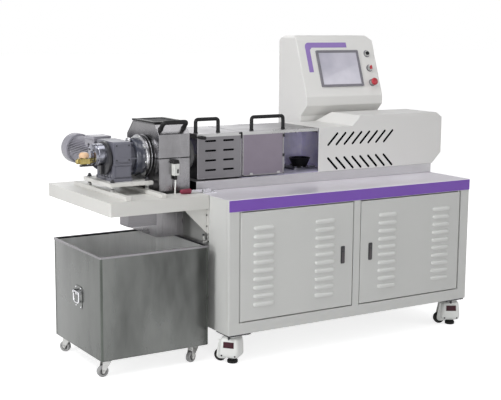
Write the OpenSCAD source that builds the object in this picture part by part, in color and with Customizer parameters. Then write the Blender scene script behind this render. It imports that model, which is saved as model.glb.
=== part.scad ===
// Bench extruder line: cabinet on levelling casters, barrel covers, drive housing,
// control console, cutting hood with its drive on a side table, and a wheeled bin.
// X runs to the right along the doors, Y away from the doors, Z up from the floor.
// The origin is the floor point under the front left levelling foot.

/* [Cabinet] */
// Length along the doors
cab_l = 1380; // [1300:10:1500]
// Depth from the doors to the back
cab_d = 860; // [820:10:960]
// Height of the painted body
cab_h = 600; // [560:5:680]
// Thickness of the side, back and floor sheets
sheet_t = 3; // [2:0.5:4]
// Depth of the folded front frame
frame_t = 24; // [20:1:30]
// Height of the coloured strip under the top
strip_h = 50; // [40:1:54]
// Thickness of the coloured strip
strip_t = 2; // [1:0.5:3]
// Thickness of the stainless top
top_t = 3; // [2:0.5:4]
// Gap between the two sheets of the stainless top
seam_w = 1; // [0.5:0.5:2]

/* [Doors] */
// Width of the frame's post between the doors
post_w = 46; // [40:1:70]
// Distance from the cabinet's end to the nearer door
door_end = 57; // [45:1:70]
// Distance from the top of the painted body to the doors
door_top = 57; // [56:1:80]
// Distance from the cabinet's underside to the doors
door_foot = 57; // [40:1:80]
// Thickness of a door
door_t = 16; // [14:1:20]
// Gap around a door
door_gap = 5; // [4:0.5:6]
// Radius of the door's pivot pins
pin_r = 4; // [3:0.5:5]
// Length of a pivot pin inside the door
pin_l = 12; // [8:1:16]
// Radial play of a pivot pin
pin_play = 0.05; // [0.02:0.01:0.1]

/* [Door fittings] */
// Louvres in each column
louvre_n = 10; // [6:1:11]
// Width of a louvre
louvre_w = 108; // [90:1:115]
// Height of a louvre
louvre_h = 20; // [14:1:24]
// How far a louvre stands proud
louvre_t = 8; // [5:1:10]
// Distance between louvres
louvre_pitch = 38; // [34:1:40]
// Distance from the hinge side to the outer column
louvre_out = 68; // [60:1:80]
// Distance from the free edge to the inner column
louvre_free = 104; // [90:1:110]
// Distance from the door's lower edge to the lowest louvre
louvre_z = 60; // [50:1:70]
// Height of a latch plate
latch_h = 82; // [70:1:95]
// Width of a latch plate
latch_w = 22; // [18:1:28]
// How far a latch stands proud
latch_t = 5; // [3:1:8]
// Distance from the free edge to the latch
latch_edge = 57; // [45:1:65]
// Height of the latch's middle above the door's lower edge
latch_z = 245; // [220:1:270]

/* [Levelling casters] */
// Distance from the cabinet's corner to a foot, both ways
foot_in = 51; // [48:1:60]
// Height from the floor to the cabinet
foot_h = 137; // [125:1:150]
// Thickness of the mounting plate
foot_plate_t = 6; // [4:1:8]
// Side of the mounting plate
foot_plate_w = 118; // [110:1:124]
// Distance from the foot to the plate's outer edges
foot_plate_in = 48; // [44:1:50]
// Side of the cast body
foot_body_w = 92; // [84:1:94]
// Height of the cast body
foot_body_h = 104; // [95:1:108]
// Radius of the rubber foot
foot_pad_r = 24; // [20:1:28]
// Height of the rubber foot
foot_pad_h = 22; // [18:1:26]
// Radius of the wheel
foot_wheel_r = 28; // [24:1:30]
// Width of the wheel
foot_wheel_w = 24; // [20:1:28]
// Distance from the foot to the wheel's middle
foot_wheel_off = 56; // [56:1:60]
// Height of the raised wheel above the floor
foot_lift = 4; // [2:1:6]

/* [Side table] */
// Length of the table to the left of the cabinet
tab_l = 480; // [470:5:520]
// Distance from the cabinet's front to the table
tab_in = 168; // [140:1:190]
// Distance from the table to the cabinet's back
tab_back = 2; // [0:1:20]
// Height of the table's edge
tab_h = 60; // [50:1:70]
// Height of the rails under the cutter drive
rail_h = 18; // [12:1:24]
// Width of a rail
rail_w = 26; // [20:1:32]
// Distance from the table's front edge to a rail
rail_in = 22; // [10:1:40]
// Length of a rail
rail_l = 560; // [520:5:600]
// Reach of a bracket under the table
brk_l = 112; // [90:1:140]
// Height of a bracket
brk_h = 112; // [90:1:130]
// Thickness of a bracket
brk_t = 8; // [6:1:10]

/* [Covers and plinth] */
// Distance from the cabinet's front to the plinth
plin_in = 290; // [280:1:310]
// Depth of the plinth and the covers
plin_w = 320; // [310:1:340]
// Height of the plinth
plin_h = 45; // [40:1:50]
// Height of the cutter shaft above the stainless top
axis_h = 156; // [150:1:165]
// Height of the covers' top above the stainless top
cov_h = 258; // [252:1:270]
// Thickness of a cover sheet
cov_t = 3; // [2:0.5:4]
// Gap between a cover and the plinth
cov_lift = 9; // [6:1:12]
// Length of the slotted cover
cov1_l = 232; // [215:1:236]
// Length of the front panel of the plain cover
cov2_front_l = 228; // [216:1:234]
// Gap between neighbouring covers
cov_gap = 5; // [5:0.5:8]
// Distance from the cabinet's left end to the slotted cover
cov_in = 5; // [5:1:10]
// Length of a slot in the slotted cover
slot_l = 58; // [50:1:64]
// Height of a slot in the slotted cover
slot_h = 9; // [6:1:11]
// Height of the lowest slots above the cover's lower edge
slot_low = 34; // [20:1:40]
// Distance between the rows of slots
slot_pitch_z = 44; // [38:1:46]
// Distance between the two columns of slots
slot_pitch_x = 94; // [86:1:100]
// Radius of the hinge pins of the covers
hinge_r = 4; // [3:0.5:5]
// Radius of a hinge knuckle
knuckle_r = 7; // [6:0.5:9]

/* [Handles] */
// Radius of a handle's bar
grip_r = 8.5; // [6:0.5:10]
// Height of a handle
grip_h = 70; // [60:1:78]
// Length of the handle on the slotted cover
grip1_l = 134; // [120:1:140]
// Length of the handle on the plain cover
grip2_l = 192; // [170:1:200]
// Distance from the front of a cover to its handle
grip_in = 46; // [40:1:60]

/* [Barrel and feed] */
// Height of the barrel
bar_h = 70; // [60:1:76]
// Depth of the barrel
bar_w = 90; // [80:1:100]
// Gap between the barrel's end and the funnel's mouth
bar_clear = 63; // [50:1:90]
// Height of the barrel above the plinth
bar_lift = 15; // [12:1:20]
// Distance from the cabinet's left end to the barrel
bar_in = 46; // [40:1:60]
// Radius of the die's flange
die_r = 75; // [70:1:80]
// Thickness of the die's flange
die_t = 15; // [10:1:20]
// Thickness of the support plate behind it
sup_t = 10; // [8:1:14]
// Length of the feed flange
feed_l = 140; // [136:1:150]
// Depth of the feed flange
feed_w = 120; // [116:1:130]
// Thickness of the feed flange
feed_t = 10; // [8:1:14]
// Distance from the cabinet's left end to the feed funnel
feed_x = 670; // [660:1:675]
// Radius of the funnel's mouth
funnel_r = 53; // [48:1:56]
// Radius of the funnel's neck
funnel_neck_r = 34; // [30:1:40]
// Height of the funnel
funnel_h = 44; // [38:1:52]
// Wall of the funnel
funnel_t = 4; // [3:0.5:5]

/* [Drive housing] */
// Distance from the cabinet's left end to the housing
hou_x = 671; // [668:1:680]
// Length of the housing at its widest
hou_l = 772; // [760:1:790]
// Length of the low part at the left
hou_low_l = 200; // [190:1:215]
// Height of the raised part above the covers' level
hou_step = 49; // [40:1:55]
// Sideways reach of the slope between the two levels
hou_slope = 49; // [40:1:60]
// Depth of the flat top of the raised part
hou_flat = 244; // [230:1:255]
// Bevel at the upper right, along the housing
hou_bev_x = 36; // [25:1:45]
// Bevel at the upper right, in height
hou_bev_z = 26; // [20:1:35]
// How far the housing stands out beyond the plinth
hou_over = 56; // [50:1:64]
// Height of the slope under that overhang
hou_under = 54; // [45:1:60]
// Depth of the open feed niche inside the housing
niche_l = 118; // [110:1:125]
// Slots in each row
vent_n = 8; // [5:1:9]
// Distance between slots
vent_pitch = 48.6; // [44:0.1:52]
// Length of a slot
vent_l = 86; // [70:1:90]
// Width of a slot
vent_w = 9; // [7:1:11]
// Depth of a slot
vent_d = 12; // [8:1:16]

/* [Control console] */
// Distance from the cabinet's left end to the console
con_x = 787; // [780:1:795]
// Length of the console
con_l = 484; // [470:1:495]
// Depth of the column
con_col = 206; // [200:1:215]
// How far the head leans out over the housing
con_lean = 52; // [46:1:56]
// Height of the head's underside above the covers' level at the column
con_under = 28; // [22:1:34]
// Height of the upright band along the head's lower edge
con_band = 46; // [40:1:52]
// Sideways run of the sloping face from its foot to its top
con_run = 102; // [95:1:110]
// Height of the sloping face
con_face = 282; // [275:1:290]
// Height of the head's top above the sloping face
con_crown = 22; // [18:1:30]
// Bevel on the head's upper right and rear corners
con_bevel = 26; // [18:1:32]
// Bevel on the head's upper left corner
con_corner = 12; // [8:1:20]
// Width of the screen's frame
scr_w = 267; // [255:1:275]
// Height of the screen's frame
scr_h = 194; // [185:1:200]
// How far the screen's frame stands proud
scr_t = 6; // [4:1:8]
// Radius of a push button's bezel
btn_r = 15; // [13:1:17]
// Radius of the emergency stop's cap
stop_r = 20; // [18:1:22]
// Distance between the controls
btn_pitch = 79; // [70:1:82]

/* [Cutting hood] */
// Length of the hood along the shaft
hood_l = 153; // [145:1:160]
// Depth of the hood
hood_d = 324; // [310:1:334]
// Distance from the shaft to the hood's front
hood_front = 150; // [140:1:156]
// Height of the hood's top above the stainless top
hood_h = 308; // [295:1:320]
// Bevel along the hood's upper front edge
hood_bev = 46; // [40:1:56]
// Bevel along the hood's upper rear edge
hood_slope = 64; // [54:1:70]
// Distance from the cabinet to the hood
hood_gap = 28; // [24:1:34]
// Wall of the hood
hood_t = 4; // [3:0.5:5]
// Thickness of the black base frame
base_t = 10; // [8:1:12]
// How far the base frame reaches beyond the hood
base_over = 14; // [10:1:18]
// Gap along the seam
seam_gap = 1; // [0.5:0.5:2]
// Radius of the shaft opening in the hood
port_r = 76; // [70:1:80]
// Thickness of the black window on top
window_t = 8; // [6:1:10]

/* [Cutter drive] */
// Radius of the large flange
ring_r = 98; // [92:1:102]
// Clearance between the flange and the hood
ring_gap = 5; // [5:0.5:6]
// Clearance between the flange and the base plate
ring_play = 1.5; // [1:0.5:3]
// Length of the gear unit's neck
neck_l = 63; // [56:1:66]
// Radius of the gear unit's neck
neck_r = 60; // [54:1:64]
// Radius of the neck's bell next to the flange
bell_r = 84; // [76:1:88]
// Length of that bell
bell_l = 38; // [32:1:44]
// Width of the gear unit along the shaft
gear_l = 91; // [84:1:96]
// Depth of the gear unit
gear_d = 190; // [180:1:200]
// Height of the gear unit
gear_h = 176; // [164:1:180]
// Distance from the shaft to the gear unit's front
gear_in = 84; // [78:1:90]
// Thickness of the drive's base plate
plate_t = 16; // [12:1:18]
// Distance from the hood to the base plate
plate_gap = 12; // [8:1:16]
// Length of the base plate along the shaft
plate_l = 212; // [205:1:216]
// Depth of the base plate
plate_d = 290; // [275:1:300]
// Radius of a levelling stud
stud_r = 6; // [5:0.5:7]
// Distance from the plate's edge to a stud
stud_in = 22; // [18:1:26]
// Radius of the motor
motor_r = 62; // [56:1:66]
// Length of the motor's finned body
motor_l = 258; // [240:1:270]
// Radius of the fan cover
fan_r = 71; // [66:1:75]
// Length of the fan cover
fan_l = 72; // [60:1:80]
// Radius of the motor flange
mflange_r = 74; // [70:1:80]
// Thickness of the motor flange
mflange_t = 24; // [18:1:30]
// Radius of the disc on the gear unit's left side
disc_r = 74; // [68:1:80]
// Thickness of that disc
disc_t = 16; // [12:1:20]
// Radius of the bright cylinder on that disc
dome_r = 48; // [42:1:52]
// Length of that cylinder
dome_l = 50; // [44:1:56]
// Height of that cylinder's middle above the shaft
dome_rise = 18; // [12:1:22]
// Length of the brass valve
valve_l = 74; // [66:1:80]
// Depth of the brass valve
valve_d = 34; // [28:1:40]
// Height of the brass valve
valve_h = 31; // [26:1:36]

/* [Bin] */
// Length of the bin
bin_l = 514; // [490:1:520]
// Depth of the bin
bin_d = 500; // [480:1:520]
// Height of the bin's body
bin_h = 449; // [420:1:455]
// Wall of the bin
bin_t = 3; // [2:0.5:4]
// Width of the rolled rim
rim_w = 12; // [8:1:16]
// How far the rolled rim stands out
rim_out = 3; // [1:0.5:5]
// Distance from the cabinet's front to the bin
bin_in = 111; // [90:1:130]
// Clearance between the bin and the cabinet
bin_gap = 40; // [38:1:55]
// Height from the floor to the bin
bin_lift = 80; // [74:1:90]
// Distance from the bin's corner to a caster's pivot
bcas_in = 46; // [42:1:56]
// Radius of a bin caster's wheel
bcas_r = 25; // [22:1:28]
// Width of a bin caster's wheel
bcas_w = 20; // [16:1:22]
// Distance from a caster's pivot to its wheel
bcas_trail = 22; // [18:1:26]
// Radius of the ring handle's wire
ring_wire = 4; // [3:0.5:5]
// Width of the ring handle
drop_w = 62; // [56:1:70]
// Drop of the ring handle
drop_h = 46; // [40:1:52]
// Radius of the radiused parts' play at a pin
turn_play = 0.05; // [0.02:0.01:0.1]

/* [Hidden] */
$fn = 64;

// Overrun of every cut
over = 5;
// Gap between pieces that only touch
seat = 0.3;

// Cabinet corners and levels
x0 = -foot_in;
y0 = -foot_in;
x1 = x0 + cab_l;
y1 = y0 + cab_d;
z_body = foot_h + cab_h;
z_top = z_body + top_t;
z_plin = z_top + plin_h;
z_axis = z_top + axis_h;
z_cov = z_top + cov_h;
plin_y0 = y0 + plin_in;
plin_y1 = plin_y0 + plin_w;
axis_y = plin_y0 + plin_w / 2;

// A box between two opposite corners
module block(lo, hi) {
  translate(lo) cube(hi - lo);
}

// A cylinder from one point along X, Y or Z
module rod_x(p, r, l) {
  translate(p) rotate([0, 90, 0]) cylinder(r = r, h = l);
}

module rod_y(p, r, l) {
  translate(p) rotate([-90, 0, 0]) cylinder(r = r, h = l);
}

module rod_z(p, r, l) {
  translate(p) cylinder(r = r, h = l);
}

// Copies a piece mirrored about the plane x = at
module both_x(at) {
  children();
  translate([2 * at, 0, 0]) mirror([1, 0, 0]) children();
}

// Copies a piece mirrored about the plane y = at
module both_y(at) {
  children();
  translate([0, 2 * at, 0]) mirror([0, 1, 0]) children();
}

// Cabinet body
door_z0 = foot_h + door_foot;
door_z1 = z_body - door_top;
door_h = door_z1 - door_z0;
// Width of each door
door_w = (cab_l - 2 * door_end - post_w) / 2;
ldoor_x0 = x0 + door_end;
rdoor_x1 = x1 - door_end;
mid_x = x0 + cab_l / 2;
// Distance from a door's face and edge to its pivot
pivot = door_t / 2;

module door_opening() {
  block([ldoor_x0 - door_gap, y0 - over, door_z0 - door_gap],
        [ldoor_x0 + door_w + door_gap, y0 + frame_t + over, door_z1 + door_gap]);
}

module door_pins() {
  rod_z([ldoor_x0 + pivot, y0 + pivot, door_z0 - door_gap - seat], pin_r, door_gap + pin_l);
  rod_z([ldoor_x0 + pivot, y0 + pivot, door_z1 - pin_l + seat], pin_r, door_gap + pin_l);
}

module front_frame() {
  color("gainsboro") {
    difference() {
      block([x0, y0, foot_h], [x1, y0 + frame_t, z_body]);
      both_x(mid_x) door_opening();
    }
    both_x(mid_x) door_pins();
  }
}

module side_panels() {
  color("gainsboro") both_x(mid_x)
    block([x0, y0 + frame_t, foot_h], [x0 + sheet_t, y1, z_body]);
}

module back_panel() {
  color("gainsboro")
    block([x0 + sheet_t, y1 - sheet_t, foot_h], [x1 - sheet_t, y1, z_body]);
}

module floor_panel() {
  color("gainsboro")
    block([x0 + sheet_t, y0 + frame_t, foot_h], [x1 - sheet_t, y1 - sheet_t, foot_h + sheet_t]);
}

module colour_strip() {
  color("mediumpurple")
    block([x0, y0 - strip_t, z_body - strip_h], [x1, y0, z_body]);
}

module stainless_top() {
  color("silver") {
    block([x0, y0 - strip_t, z_body], [mid_x - seam_w / 2, y1, z_top]);
    block([mid_x + seam_w / 2, y0 - strip_t, z_body], [x1, y1, z_top]);
  }
}

module plinth() {
  color("silver")
    block([x0, plin_y0, z_top], [x1, plin_y1, z_plin]);
}

// Doors, with pressed louvres and a latch; the left one is drawn and mirrored
louvre_top_r = louvre_t;

module louvre(x, z) {
  translate([x, y0, z]) {
    // The hood of a louvre is a quarter round on a flat lip
    intersection() {
      rotate([0, 90, 0]) cylinder(r = louvre_top_r, h = louvre_w);
      block([0, -louvre_t, 0], [louvre_w, 0, louvre_t]);
    }
    block([0, -louvre_t, -(louvre_h - louvre_t)], [louvre_w, 0, 0]);
  }
}

module louvre_column(x) {
  for (i = [0 : louvre_n - 1])
    louvre(x, door_z0 + louvre_z + louvre_h / 2 + i * louvre_pitch);
}

module door() {
  color("gainsboro") {
    difference() {
      union() {
        block([ldoor_x0 + pivot, y0, door_z0], [ldoor_x0 + door_w, y0 + door_t, door_z1]);
        // The hinge edge is round about the pivot
        rod_z([ldoor_x0 + pivot, y0 + pivot, door_z0], pivot, door_h);
      }
      rod_z([ldoor_x0 + pivot, y0 + pivot, door_z0 - over], pin_r + pin_play, pin_l + over + seat);
      rod_z([ldoor_x0 + pivot, y0 + pivot, door_z1 - pin_l], pin_r + pin_play, pin_l + over);
    }
    louvre_column(ldoor_x0 + louvre_out);
    louvre_column(ldoor_x0 + door_w - louvre_free - louvre_w);
  }
  color("dimgray")
    translate([ldoor_x0 + door_w - latch_edge - latch_w / 2, y0 - latch_t, door_z0 + latch_z - latch_h / 2])
      cube([latch_w, latch_t, latch_h]);
}

module left_door() {
  door();
}

module right_door() {
  translate([2 * mid_x, 0, 0]) mirror([1, 0, 0]) door();
}

// Levelling casters: cast body on a plate, a screwed-down foot and a raised wheel behind it
foot_body_z1 = foot_h - foot_plate_t;
foot_body_z0 = foot_body_z1 - foot_body_h;
wheel_z = foot_wheel_r + foot_lift;
fork_gap = 2;
cheek_t = 6;
axle_r = 5;
foot_mid_y = (cab_d - 2 * foot_in) / 2;

// Degrees by which the left and the right casters are turned
foot_turns = [40, 60];

module at_feet() {
  for (i = [0, 1], k = [0, 1])
    translate([i * (cab_l - 2 * foot_in), 2 * k * foot_mid_y, 0]) mirror([0, k, 0])
      rotate([0, 0, foot_turns[i]]) children();
}

module foot_plates() {
  far = foot_plate_w - foot_plate_in;
  both_x(mid_x) both_y(foot_mid_y)
    block([-foot_plate_in, -foot_plate_in, foot_body_z1], [far, far, foot_h]);
}

module caster_body() {
  half = foot_body_w / 2;
  slot = foot_wheel_w / 2 + fork_gap;
  difference() {
    union() {
      block([-half, -half + over, foot_body_z0], [half, half + over, foot_body_z1 + foot_plate_t / 2]);
      // Cheeks that carry the wheel's axle
      block([-slot - cheek_t, foot_pad_r + fork_gap, wheel_z - axle_r * 2],
            [slot + cheek_t, foot_wheel_off + foot_pad_r / 2, foot_body_z1 - foot_pad_h]);
    }
    block([-slot, foot_pad_r + fork_gap, 0],
          [slot, foot_wheel_off + foot_pad_r + over, wheel_z + foot_wheel_r + fork_gap]);
  }
  rod_x([-slot - cheek_t, foot_wheel_off, wheel_z], axle_r, 2 * (slot + cheek_t));
}

module levelling_casters() {
  color("whitesmoke") at_feet() caster_body();
  color("black") foot_plates();
}

module levelling_feet() {
  color("black") at_feet() {
    rod_z([0, 0, 0], foot_pad_r, foot_body_z0);
    difference() {
      rod_x([-foot_wheel_w / 2, foot_wheel_off, wheel_z], foot_wheel_r, foot_wheel_w);
      rod_x([-foot_wheel_w, foot_wheel_off, wheel_z], axle_r + turn_play, 2 * foot_wheel_w);
    }
  }
}

// Side table
tab_x0 = x0 - tab_l;
tab_y0 = y0 + tab_in;
tab_y1 = y1 - tab_back;
chute_back = 28;
hood_x1 = x0 - hood_gap;
hood_x0 = hood_x1 - hood_l;
hood_y0 = axis_y - hood_front;
hood_y1 = hood_y0 + hood_d;
z_tab0 = z_top - tab_h;
// Chute between the hood and the bin
chute_gap = 12;
z_chute = bin_lift + bin_h + chute_gap;
chute_x1 = x0 - bin_gap - bin_t - over;
chute_y0 = hood_y0 + chute_back;
chute_y1 = hood_y1 - base_over;
// Drive plate and the rails under it
plate_front = 36;
plate_x1 = hood_x0 - plate_gap;
plate_x0 = plate_x1 - plate_l;
plate_y0 = axis_y - gear_in - plate_front;
stud_x0 = plate_x0 + stud_in;
stud_x1 = plate_x1 - stud_in;
z_rail = z_top + rail_h;
// Channel that hangs beside the chute
drain_l = 138;
drain_w = 90;
drain_h = 52;
drain_drop = 30;

module side_table() {
  color("whitesmoke") {
    difference() {
      block([tab_x0, tab_y0, z_tab0], [x0, tab_y1, z_top]);
      block([tab_x0 + sheet_t, tab_y0 + sheet_t, z_tab0 - over],
            [x0 - sheet_t, tab_y1 - sheet_t, z_top - sheet_t]);
      block([hood_x0, chute_y0, z_top - sheet_t - over], [chute_x1, chute_y1, z_top + over]);
    }
    // Rails under the cutter drive
    for (rx = [stud_x0, stud_x1])
      block([rx - rail_w / 2, tab_y0 + rail_in, z_top], [rx + rail_w / 2, tab_y0 + rail_in + rail_l, z_rail]);
  }
}

// Triangular brackets that carry the table from the cabinet's side
brk_in = 14;

module bracket() {
  translate([0, tab_y0 + brk_in + brk_t, 0]) rotate([90, 0, 0]) linear_extrude(brk_t)
    polygon([[x0, z_tab0], [x0 - brk_l, z_tab0], [x0 - brk_t, z_tab0 - brk_h], [x0, z_tab0 - brk_h]]);
  // Flange against the cabinet's side
  block([x0 - brk_t, tab_y0 + brk_in - brk_t, z_tab0 - brk_h], [x0, tab_y0 + brk_in, z_tab0]);
  lug_h = 40;
  block([x0 - bin_gap + rim_out + over + seat, tab_y0 + brk_in - brk_t, z_tab0 - brk_h - lug_h],
        [x0, tab_y0 + brk_in + 2 * brk_t, z_tab0 - brk_h]);
}

module table_brackets() {
  color("whitesmoke") both_y((tab_y0 + tab_y1) / 2) bracket();
}

// Stainless chute that drops from the hood through the table into the bin, with a channel beside it
module outlet_chute() {
  y_mid = chute_y0 + drain_w / 2;
  color("silver") {
    difference() {
      block([hood_x0 + seat, chute_y0 + seat, z_chute], [chute_x1 - seat, chute_y1 - seat, z_top]);
      block([hood_x0 + hood_t, chute_y0 + hood_t, z_chute - over],
            [chute_x1 - hood_t, chute_y1 - hood_t, z_top + over]);
    }
    difference() {
      block([hood_x0 - drain_l, y_mid - drain_w / 2, z_tab0 - drain_drop - drain_h],
            [hood_x0 + hood_t, y_mid + drain_w / 2, z_tab0 - drain_drop]);
      block([hood_x0 - drain_l + hood_t, y_mid - drain_w / 2 + hood_t, z_tab0 - drain_drop - drain_h + hood_t],
            [hood_x0 - hood_t, y_mid + drain_w / 2 - hood_t, z_tab0 - drain_drop + over]);
    }
  }
}

// Push-pull clamp that draws the table to the cabinet
clamp_in = 44;
clamp_y = plin_y0 - clamp_in;
clamp_base_l = 70;
clamp_base_w = 34;
clamp_base_t = 4;
clamp_bar_h = 14;
clamp_bar_w = 10;
clamp_reach = 52;
clamp_grip_r = 12;
clamp_grip_l = 54;

module toggle_clamp() {
  color("silver") {
    block([x0 + clamp_base_t, clamp_y - clamp_base_w / 2, z_top],
          [x0 + clamp_base_t + clamp_base_l, clamp_y + clamp_base_w / 2, z_top + clamp_base_t]);
    block([x0 - clamp_reach, clamp_y - clamp_bar_w / 2, z_top + clamp_base_t],
          [x0 + clamp_base_t + clamp_base_l / 2, clamp_y + clamp_bar_w / 2,
           z_top + clamp_base_t + clamp_bar_h]);
  }
  color("crimson")
    rod_x([x0 - clamp_reach - clamp_grip_l, clamp_y, z_top + clamp_grip_r], clamp_grip_r, clamp_grip_l);
}

// Covers over the barrel
cov1_x0 = x0 + cov_in;
cov1_x1 = cov1_x0 + cov1_l;
cov2_x0 = cov1_x1 + cov_gap;
cov2_x1 = x0 + hou_x - cov_gap;
z_cov0 = z_plin + cov_lift;
cov_yb = plin_y1 - cov_t;
// The covers turn about pins along their upper rear edge
hinge_gap = 1;
hinge_y = plin_y1 + knuckle_r + hinge_gap;
hinge_z = z_cov - knuckle_r;
knuckle_l = 40;

module rear_cover_panel() {
  color("silver") {
    block([cov1_x0, cov_yb, z_plin], [cov2_x1, plin_y1, z_cov - cov_t - cov_gap]);
    // Knuckles of the panel, between those of the covers
    for (kx = [cov1_x0 + cov1_l / 2, cov2_x0 + (cov2_x1 - cov2_x0) / 2])
      knuckle(kx - knuckle_l / 2, knuckle_l);
    for (kx = [cov1_x0 + cov1_l / 2, cov2_x0 + (cov2_x1 - cov2_x0) / 2])
      rod_x([kx - knuckle_l * 3 / 2, hinge_y, hinge_z], hinge_r, knuckle_l * 3);
  }
}

// Panel knuckle: a barrel with a tab down to the rear panel
module knuckle(x, l) {
  rod_x([x, hinge_y, hinge_z], knuckle_r, l);
  block([x, plin_y1, z_cov - cov_t - cov_gap - knuckle_l], [x + l, hinge_y, hinge_z]);
}

// Cover knuckle: a barrel under the rear edge of the cover's top
module cover_knuckle(x, l) {
  difference() {
    union() {
      rod_x([x, hinge_y, hinge_z], knuckle_r, l);
      block([x, plin_y1 - knuckle_r, z_cov - cov_t], [x + l, hinge_y, z_cov]);
    }
    rod_x([x - over, hinge_y, hinge_z], hinge_r + turn_play, l + 2 * over);
  }
}

module cover_knuckles(mid) {
  cover_knuckle(mid - knuckle_l * 3 / 2, knuckle_l - hinge_gap);
  cover_knuckle(mid + knuckle_l / 2 + hinge_gap, knuckle_l - hinge_gap);
}

module slotted_cover() {
  color("silver") {
    difference() {
      block([cov1_x0, plin_y0, z_cov0], [cov1_x1, plin_y0 + cov_t, z_cov - cov_t]);
      for (i = [0, 1], k = [0 : 3])
        translate([cov1_x0 + cov1_l / 2 - slot_pitch_x / 2 - slot_l / 2 + i * slot_pitch_x,
                   plin_y0 - over, z_cov0 + slot_low + k * slot_pitch_z])
          cube([slot_l, cov_t + 2 * over, slot_h]);
    }
    block([cov1_x0, plin_y0, z_cov - cov_t], [cov1_x1, plin_y1, z_cov]);
    cover_knuckles(cov1_x0 + cov1_l / 2);
  }
}

module plain_cover() {
  color("silver") {
    block([cov2_x0, plin_y0, z_cov0], [cov2_x0 + cov2_front_l, plin_y0 + cov_t, z_cov - cov_t]);
    block([cov2_x0, plin_y0, z_cov - cov_t], [cov2_x1, plin_y1, z_cov]);
    cover_knuckles(cov2_x0 + (cov2_x1 - cov2_x0) / 2);
  }
}

// A bridge handle standing on z = 0, centred, along X
module bridge_handle(l, h, r) {
  for (s = [-1, 1]) {
    translate([s * (l / 2 - r), 0, 0]) cylinder(r = r, h = h - 2 * r);
    translate([s * (l / 2 - r), 0, h - 2 * r]) sphere(r = r);
  }
  rod_x([-l / 2 + r, 0, h - 2 * r], r, l - 2 * r);
}

// Latch lever in front of the slotted cover's upper left corner
latch_in = 8;
latch_drop = 14;
latch_stud_l = 12;
latch_stud_r = 6;
latch_arm_r = 4;
latch_arm_l = 24;
latch_grip_r = 8;
latch_grip_l = 30;
latch_tilt = 8;

module cover_latch() {
  translate([cov1_x0 + latch_in, plin_y0 - latch_stud_l, z_cov - latch_drop]) {
    rod_y([0, 0, 0], latch_stud_r, latch_stud_l);
    rotate([0, latch_tilt, 0]) {
      rod_x([-latch_arm_l, 0, 0], latch_arm_r, latch_arm_l);
      rod_x([0, 0, 0], latch_grip_r, latch_grip_l);
    }
  }
}

module slotted_cover_handle() {
  color("black") {
    translate([cov1_x0 + grip1_l / 2 + grip_r, plin_y0 + grip_in, z_cov])
      bridge_handle(grip1_l, grip_h + grip_r, grip_r);
    cover_latch();
  }
}

// Place of the handle along the plain cover's front panel
handle2_share = 0.72;

module plain_cover_handle() {
  color("black") translate([cov2_x0 + cov2_front_l * handle2_share, plin_y0 + grip_in, z_cov])
    bridge_handle(grip2_l, grip_h + grip_r, grip_r);
}

// Barrel under the covers, the die's flange and its support
bar_z0 = z_plin + bar_lift;
bar_x0 = x0 + bar_in;
bar_l = feed_x - funnel_r - bar_clear - bar_in;
sup_x0 = bar_x0 - sup_t;
// Room between the covers and what stands inside them
cov_room = 6;

module barrel() {
  color("darkgray") {
    block([bar_x0, axis_y - bar_w / 2, bar_z0], [bar_x0 + bar_l, axis_y + bar_w / 2, bar_z0 + bar_h]);
    for (bx = [bar_x0 + bar_l / 4, bar_x0 + bar_l * 3 / 4])
      block([bx - bar_w / 4, axis_y - bar_w / 3, z_plin], [bx + bar_w / 4, axis_y + bar_w / 3, bar_z0]);
    // Flange at the feed end, under the funnel
    block([x0 + feed_x - feed_l / 2, axis_y - feed_w / 2, z_plin],
          [x0 + feed_x + feed_l / 2, axis_y + feed_w / 2, z_plin + feed_t]);
  }
}

module die_flange() {
  color("silver")
    rod_x([sup_x0 - die_t, axis_y, z_axis], die_r, die_t);
}

module support_plate() {
  color("dimgray")
    block([sup_x0, plin_y0 + cov_t + cov_room, z_plin], [bar_x0, plin_y1 - cov_t - cov_room, z_axis]);
}

module feed_funnel() {
  color("black") translate([x0 + feed_x, axis_y, z_plin + feed_t]) rotate_extrude()
    polygon([[funnel_neck_r - funnel_t, 0], [funnel_neck_r, 0], [funnel_r, funnel_h],
             [funnel_r - funnel_t, funnel_h]]);
}

// Drive housing
hou_x0 = x0 + hou_x;
hou_x1 = hou_x0 + hou_l;
z_hou = z_cov + hou_step;
z_bev = z_hou - hou_bev_z;

module vent(x, z, turn) {
  translate([x, plin_y0 - over, z]) rotate([0, turn, 0])
    translate([-vent_l / 2, 0, -vent_w / 2]) cube([vent_l, vent_d + over, vent_w]);
}

module housing_front() {
  rotate([90, 0, 0]) linear_extrude(plin_w)
    polygon([[hou_x0, z_plin], [hou_x0, z_cov], [hou_x0 + hou_low_l, z_cov],
             [hou_x0 + hou_low_l + hou_slope, z_hou], [hou_x1 - hou_bev_x, z_hou],
             [hou_x1, z_bev], [hou_x1, z_plin + hou_under], [hou_x1 - hou_over, z_plin]]);
}

vent_x = 83;
vent_top_share = 0.6;
vent_low_share = 0.14;

module drive_housing() {
  color("whitesmoke") difference() {
    translate([0, plin_y1, 0]) housing_front();
    // The raised part slopes down to the low level behind its flat top
    translate([hou_x0 + hou_low_l - over, 0, 0]) rotate([90, 0, 90]) linear_extrude(hou_l)
      polygon([[plin_y0 + hou_flat, z_hou], [plin_y1, z_cov], [plin_y1 + over, z_cov],
               [plin_y1 + over, z_hou + over], [plin_y0 + hou_flat, z_hou + over]]);
    // Feed niche behind the left end
    block([hou_x0 - over, plin_y0 + cov_t, z_plin - over],
          [hou_x0 + niche_l, plin_y1 - cov_t, z_cov - cov_t]);
    for (i = [0 : vent_n - 1]) {
      vent(hou_x0 + vent_x + i * vent_pitch, z_plin + cov_h * vent_top_share, -45);
      vent(hou_x0 + vent_x + i * vent_pitch, z_plin + cov_h * vent_low_share, 45);
    }
  }
}

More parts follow.
